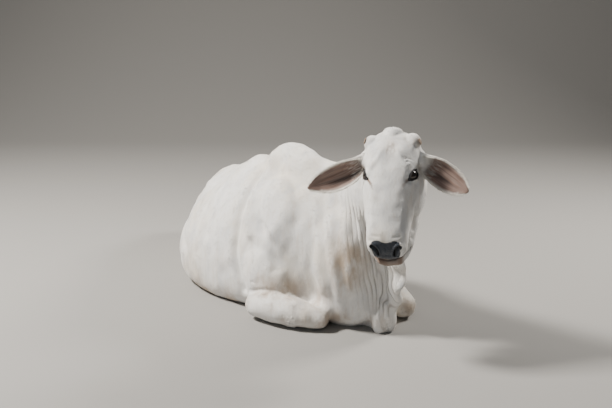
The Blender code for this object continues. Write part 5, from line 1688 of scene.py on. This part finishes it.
def on_cup(frame_there, p, depth):
    """A place on the ear's bent sheet: depth inside the sheet, p the angle round the cup."""
    path, face, wide, radius = frame_there
    return path + (radius - depth) * np.sin(p) * wide + (radius - (radius - depth) * np.cos(p)) * face


parts = []
for side in (1, -1):
    path, run, face, wide, half, roll, thick = ear_frame(side)
    for edge in (1, -1):
        k = rng.integers(int(0.16 * len(path)), len(path) - 1, EDGE_HAIRS)
        p = roll[k] * edge * rng.uniform(0.93, 1.0, (EDGE_HAIRS, 1))
        depth = thick[k] * rng.uniform(-0.2, 0.5, (EDGE_HAIRS, 1))
        base = on_cup((path[k], face[k], wide[k], half[k] / roll[k]), p, depth)
        outward = unit(edge * wide[k] * np.cos(p) + face[k] * np.abs(np.sin(p)))
        flow = run[k] + outward * rng.uniform(0.10, 0.7, (EDGE_HAIRS, 1)) - face[k] * 0.10
        size = rng.uniform(0.008, 0.019, EDGE_HAIRS) * (1 - 0.5 * k / len(path))
        parts.append((base, face[k] + 0.01, flow, size, np.full(EDGE_HAIRS, 0.0006), 0.06))
    # long hair from the inner base lies out along the cup
    k = rng.integers(int(0.16 * len(path)), int(0.48 * len(path)), CUP_HAIRS)
    p = roll[k] * rng.uniform(-0.95, 0.95, (CUP_HAIRS, 1))
    base = on_cup((path[k], face[k], wide[k], half[k] / roll[k]), p, thick[k] * 0.5)
    inward = unit(face[k] * np.cos(p) - wide[k] * np.sin(p))
    flow = run[k] + 0.07 * rng.normal(size=(CUP_HAIRS, 3)) + 0.10 * np.sin(p) * wide[k]
    size = rng.uniform(0.014, 0.030, CUP_HAIRS)
    parts.append((base, inward, flow, size, np.full(CUP_HAIRS, 0.0004), 0.07))
root, out, flow, length, width = (np.concatenate([p[i] for p in parts]) for i in range(5))
lean = np.concatenate([np.full(len(p[0]), p[5]) for p in parts])
out = unit(out)
world_root = from_head(root)
made = locks(world_root, out @ AXES, unit(flow) @ AXES, length, width, lean, bend=0.05, rings=4)
ear_hair = lock_object("ear_hair", made, unwrapped(world_root, root), pale_hair)
print("ear hair", len(ear_hair.data.polygons), "triangles")

# %% Lashes
UPPER_LASHES, LOWER_LASHES = 74, 26
lash_parts = []
for side in (1, -1):
    look, slit, up = eye_axes(side)
    t = np.concatenate((rng.uniform(0.25, 2.95, UPPER_LASHES), rng.uniform(3.6, 5.8, LOWER_LASHES)))
    a, b = margin(t)
    base, ray = eye_shell(side, a * 1.02, b * 1.10, 0.0024)
    upper = (np.sin(t) > 0)[:, None]
    aside = slit * np.cos(t)[:, None]
    flow = np.where(upper, up * 0.55 + aside * 0.5 + look * 0.9, -up * 0.5 + aside * 0.4 + look * 0.7)
    size = np.where(upper[:, 0], rng.uniform(0.012, 0.020, len(t)), rng.uniform(0.005, 0.009, len(t)))
    lash_parts.append((base, ray, flow, size, np.where(upper[:, 0], -0.28, 0.15)))
root, out, flow, length, bend = (np.concatenate([p[i] for p in lash_parts]) for i in range(5))
world_root = from_head(root)
made = locks(world_root, out @ AXES, unit(flow) @ AXES, length, 0.00045, 0.55, bend=bend, rings=4, flat=0.8)
lashes = lock_object("lashes", made, unwrapped(world_root, root), dark_hair)
print("lashes", len(lashes.data.polygons), "triangles")

# %% [markdown]
# ## The switch
#
# The tail ends in a switch of long dark hair, which lies fanned out on the ground behind the cow. Its
# locks are longer and thicker than those of the coat, start along the last part of the tail, sink to the
# ground and curl sideways a little, each by its own amount.

# %% Switch of the tail
SWITCH_LOCKS = 420
rng = np.random.default_rng(19)
line = np.array([row[:3] for row in LIMBS["tail"][-3:]])
t = rng.uniform(0.45, 1.0, SWITCH_LOCKS) ** 0.7 * 2
root = np.stack([np.interp(t, np.arange(3), line[:, k]) for k in range(3)], 1)
spread = rng.normal(0, 0.5, SWITCH_LOCKS).clip(-1.1, 1.1)
turn = -0.62 + 0.36 * spread
flow = np.stack((np.cos(turn), np.sin(turn), 0 * turn), 1)
sideways = np.stack((-np.sin(turn), np.cos(turn), 0 * turn), 1)
root += sideways * (0.006 * spread)[:, None]
root[:, 2] = rng.uniform(0.004, 0.017, SWITCH_LOCKS)
length = rng.uniform(0.09, 0.185, SWITCH_LOCKS) * (1 - 0.18 * np.abs(spread))
drop = -(root[:, 2] - 0.0035) / length  # every lock ends on the ground
upward = np.tile((0.0, 0.0, 1.0), (SWITCH_LOCKS, 1))
width = rng.uniform(0.0018, 0.0034, SWITCH_LOCKS)
curl = 0.05 * rng.normal(size=SWITCH_LOCKS)
made = locks(root, upward, flow, length, width, 0.0, bend=drop, curl=curl, rings=7, flat=0.7)
made[0][:, 2] = np.maximum(made[0][:, 2], LOWEST_HAIR)
root_place = np.stack((0.55 + 0.4 * t / 2, 0.97 + 0 * t), 1)
switch = lock_object("switch_locks", made, root_place, dark_hair)
print("switch", len(switch.data.polygons), "triangles, lowest at", points_of(switch)[:, 2].min().round(4))

# %% Put the skin in its place in the frame
put(body, points_of(body) + SHIFT)
print("skin box", points_of(body).min(0).round(3), points_of(body).max(0).round(3))

# %% [markdown]
# ## Everything rides on the one body
#
# The model is still, so every piece rides on "root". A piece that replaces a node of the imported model
# says so, and takes its finish from the node's slot.

# %% Riding, replacing and slots
SKIN_NODES = ("torso", "hump", "neck", "dewlap", "head", "ear_left", "ear_right", "foreleg_left",
              "foreleg_right", "hindleg_left", "hindleg_right", "tail")
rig.ride(body, "root")
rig.replaces(body, *SKIN_NODES)
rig.slot(body, "coat")
for word in ("left", "right"):
    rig.ride(eyes[word], "root")
    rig.replaces(eyes[word], "eye_" + word)
    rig.slot(eyes[word], "eye")
    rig.ride(rims[word], "root")
    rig.slot(rims[word], "eye")
    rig.ride(caps[word], "root")
    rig.replaces(caps[word], "horn_bud_" + word)
    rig.slot(caps[word], "horn_bud")
for piece, slot in ((tufts, "coat"), (ear_hair, "ear"), (lashes, "eye"), (switch, "switch")):
    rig.ride(piece, "root")
    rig.slot(piece, slot)
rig.replaces(switch, "tail_switch")
for name, hoof in hooves.items():
    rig.ride(hoof, "root")
    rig.replaces(hoof, name)
    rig.slot(hoof, "hoof")
print(len(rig.table()["pieces"]), "pieces ride on root")

# %% [markdown]
# ## Floor, light and camera
#
# A plain floor that curves up behind the cow, a warm key light from high on its right and behind it, as in
# the photograph, a faint cool fill from the camera's side and a third light from its left for the edges.
# The camera stands where the photographer did, and its lens follows from the photograph's frame: 800
# pixels of focal length across 612.

# %% Floor and light
CAMERA_PLACE, CAMERA_PAN, CAMERA_TILT = (-2.000, -2.982, 1.38), math.radians(35.0), math.radians(14.5)
FLOOR_START, FLOOR_BEND, BEND_RADIUS, WALL_TOP, HALF_WIDE = -7.0, 4.0, 3.0, 8.0, 9.0
bend = np.linspace(0, np.pi / 2, 40)
reach = np.concatenate((np.linspace(FLOOR_START, FLOOR_BEND - 0.1, 20),
                        FLOOR_BEND + BEND_RADIUS * np.sin(bend), [FLOOR_BEND + BEND_RADIUS]))
rise = np.concatenate((np.zeros(20), BEND_RADIUS - BEND_RADIUS * np.cos(bend), [WALL_TOP]))
ahead = np.array((math.sin(CAMERA_PAN), math.cos(CAMERA_PAN), 0.0))
across = np.array((math.cos(CAMERA_PAN), -math.sin(CAMERA_PAN), 0.0))
upward = np.array((0, 0, 1.0))
sheet = (reach[:, None, None] * ahead + np.linspace(-HALF_WIDE, HALF_WIDE, 3)[None, :, None] * across
         + rise[:, None, None] * upward)
floor = mesh_object("floor", sheet, grid_faces(len(reach), 3, closed=False))
dressed(floor, Finish("pale_floor", base_color=(0.30, 0.29, 0.275), roughness=0.9))
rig.stage(floor)


def area_light(name, place, aim, size, watts, colour):
    """A square soft light at a place, turned to what it aims at."""
    lamp = bpy.data.lights.new(name, "AREA")
    lamp.size, lamp.energy, lamp.color = size, watts, colour
    obj = bpy.data.objects.new(name, lamp)
    obj.location = place
    obj.rotation_mode = "QUATERNION"
    obj.rotation_quaternion = (Vector(aim) - Vector(place)).to_track_quat("-Z", "Y")
    bpy.context.scene.collection.objects.link(obj)
    return obj


area_light("key", (-2.8, 1.5, 4.0), (0, 0, 0.3), 0.8, 600, (1.0, 0.96, 0.90))
area_light("fill", (-4.2, -3.0, 2.0), (0, 0, 0.4), 1.8, 26, (0.84, 0.92, 1.0))
area_light("edge", (3.0, -1.0, 2.8), (0, -0.4, 0.4), 0.9, 190, (1.0, 0.96, 0.90))
world = bpy.data.worlds.new("studio")
world.use_nodes = True
sky = world.node_tree.nodes["Background"]
sky.inputs["Color"].default_value = (0.86, 0.90, 0.96, 1)
sky.inputs["Strength"].default_value = 0.085
bpy.context.scene.world = world

# %% Camera
FOCAL_PIXELS, WIDE_PIXELS, SENSOR = 800.0, 612.0, 36.0
lens = bpy.data.cameras.new("camera")
lens.sensor_width, lens.lens = SENSOR, FOCAL_PIXELS / WIDE_PIXELS * SENSOR
camera = bpy.data.objects.new("camera", lens)
camera.location = Vector(np.array(CAMERA_PLACE) + SHIFT)
level = math.cos(CAMERA_TILT)
look = Vector((math.sin(CAMERA_PAN) * level, math.cos(CAMERA_PAN) * level, -math.sin(CAMERA_TILT)))
camera.rotation_mode = "QUATERNION"
camera.rotation_quaternion = look.to_track_quat("-Z", "Y")
bpy.context.scene.collection.objects.link(camera)
bpy.context.scene.camera = camera
print("camera at", [round(v, 3) for v in camera.location], "lens", round(lens.lens, 2))

# %% Keep the sizes and finish
seen_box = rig.bounds()
sizes = {"cad": [[float(v) for v in corner] for corner in cad_box],
         "visual": [[float(v) for v in corner] for corner in seen_box]}
with open("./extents.json", "w") as out:
    json.dump(sizes, out)
print(sizes)
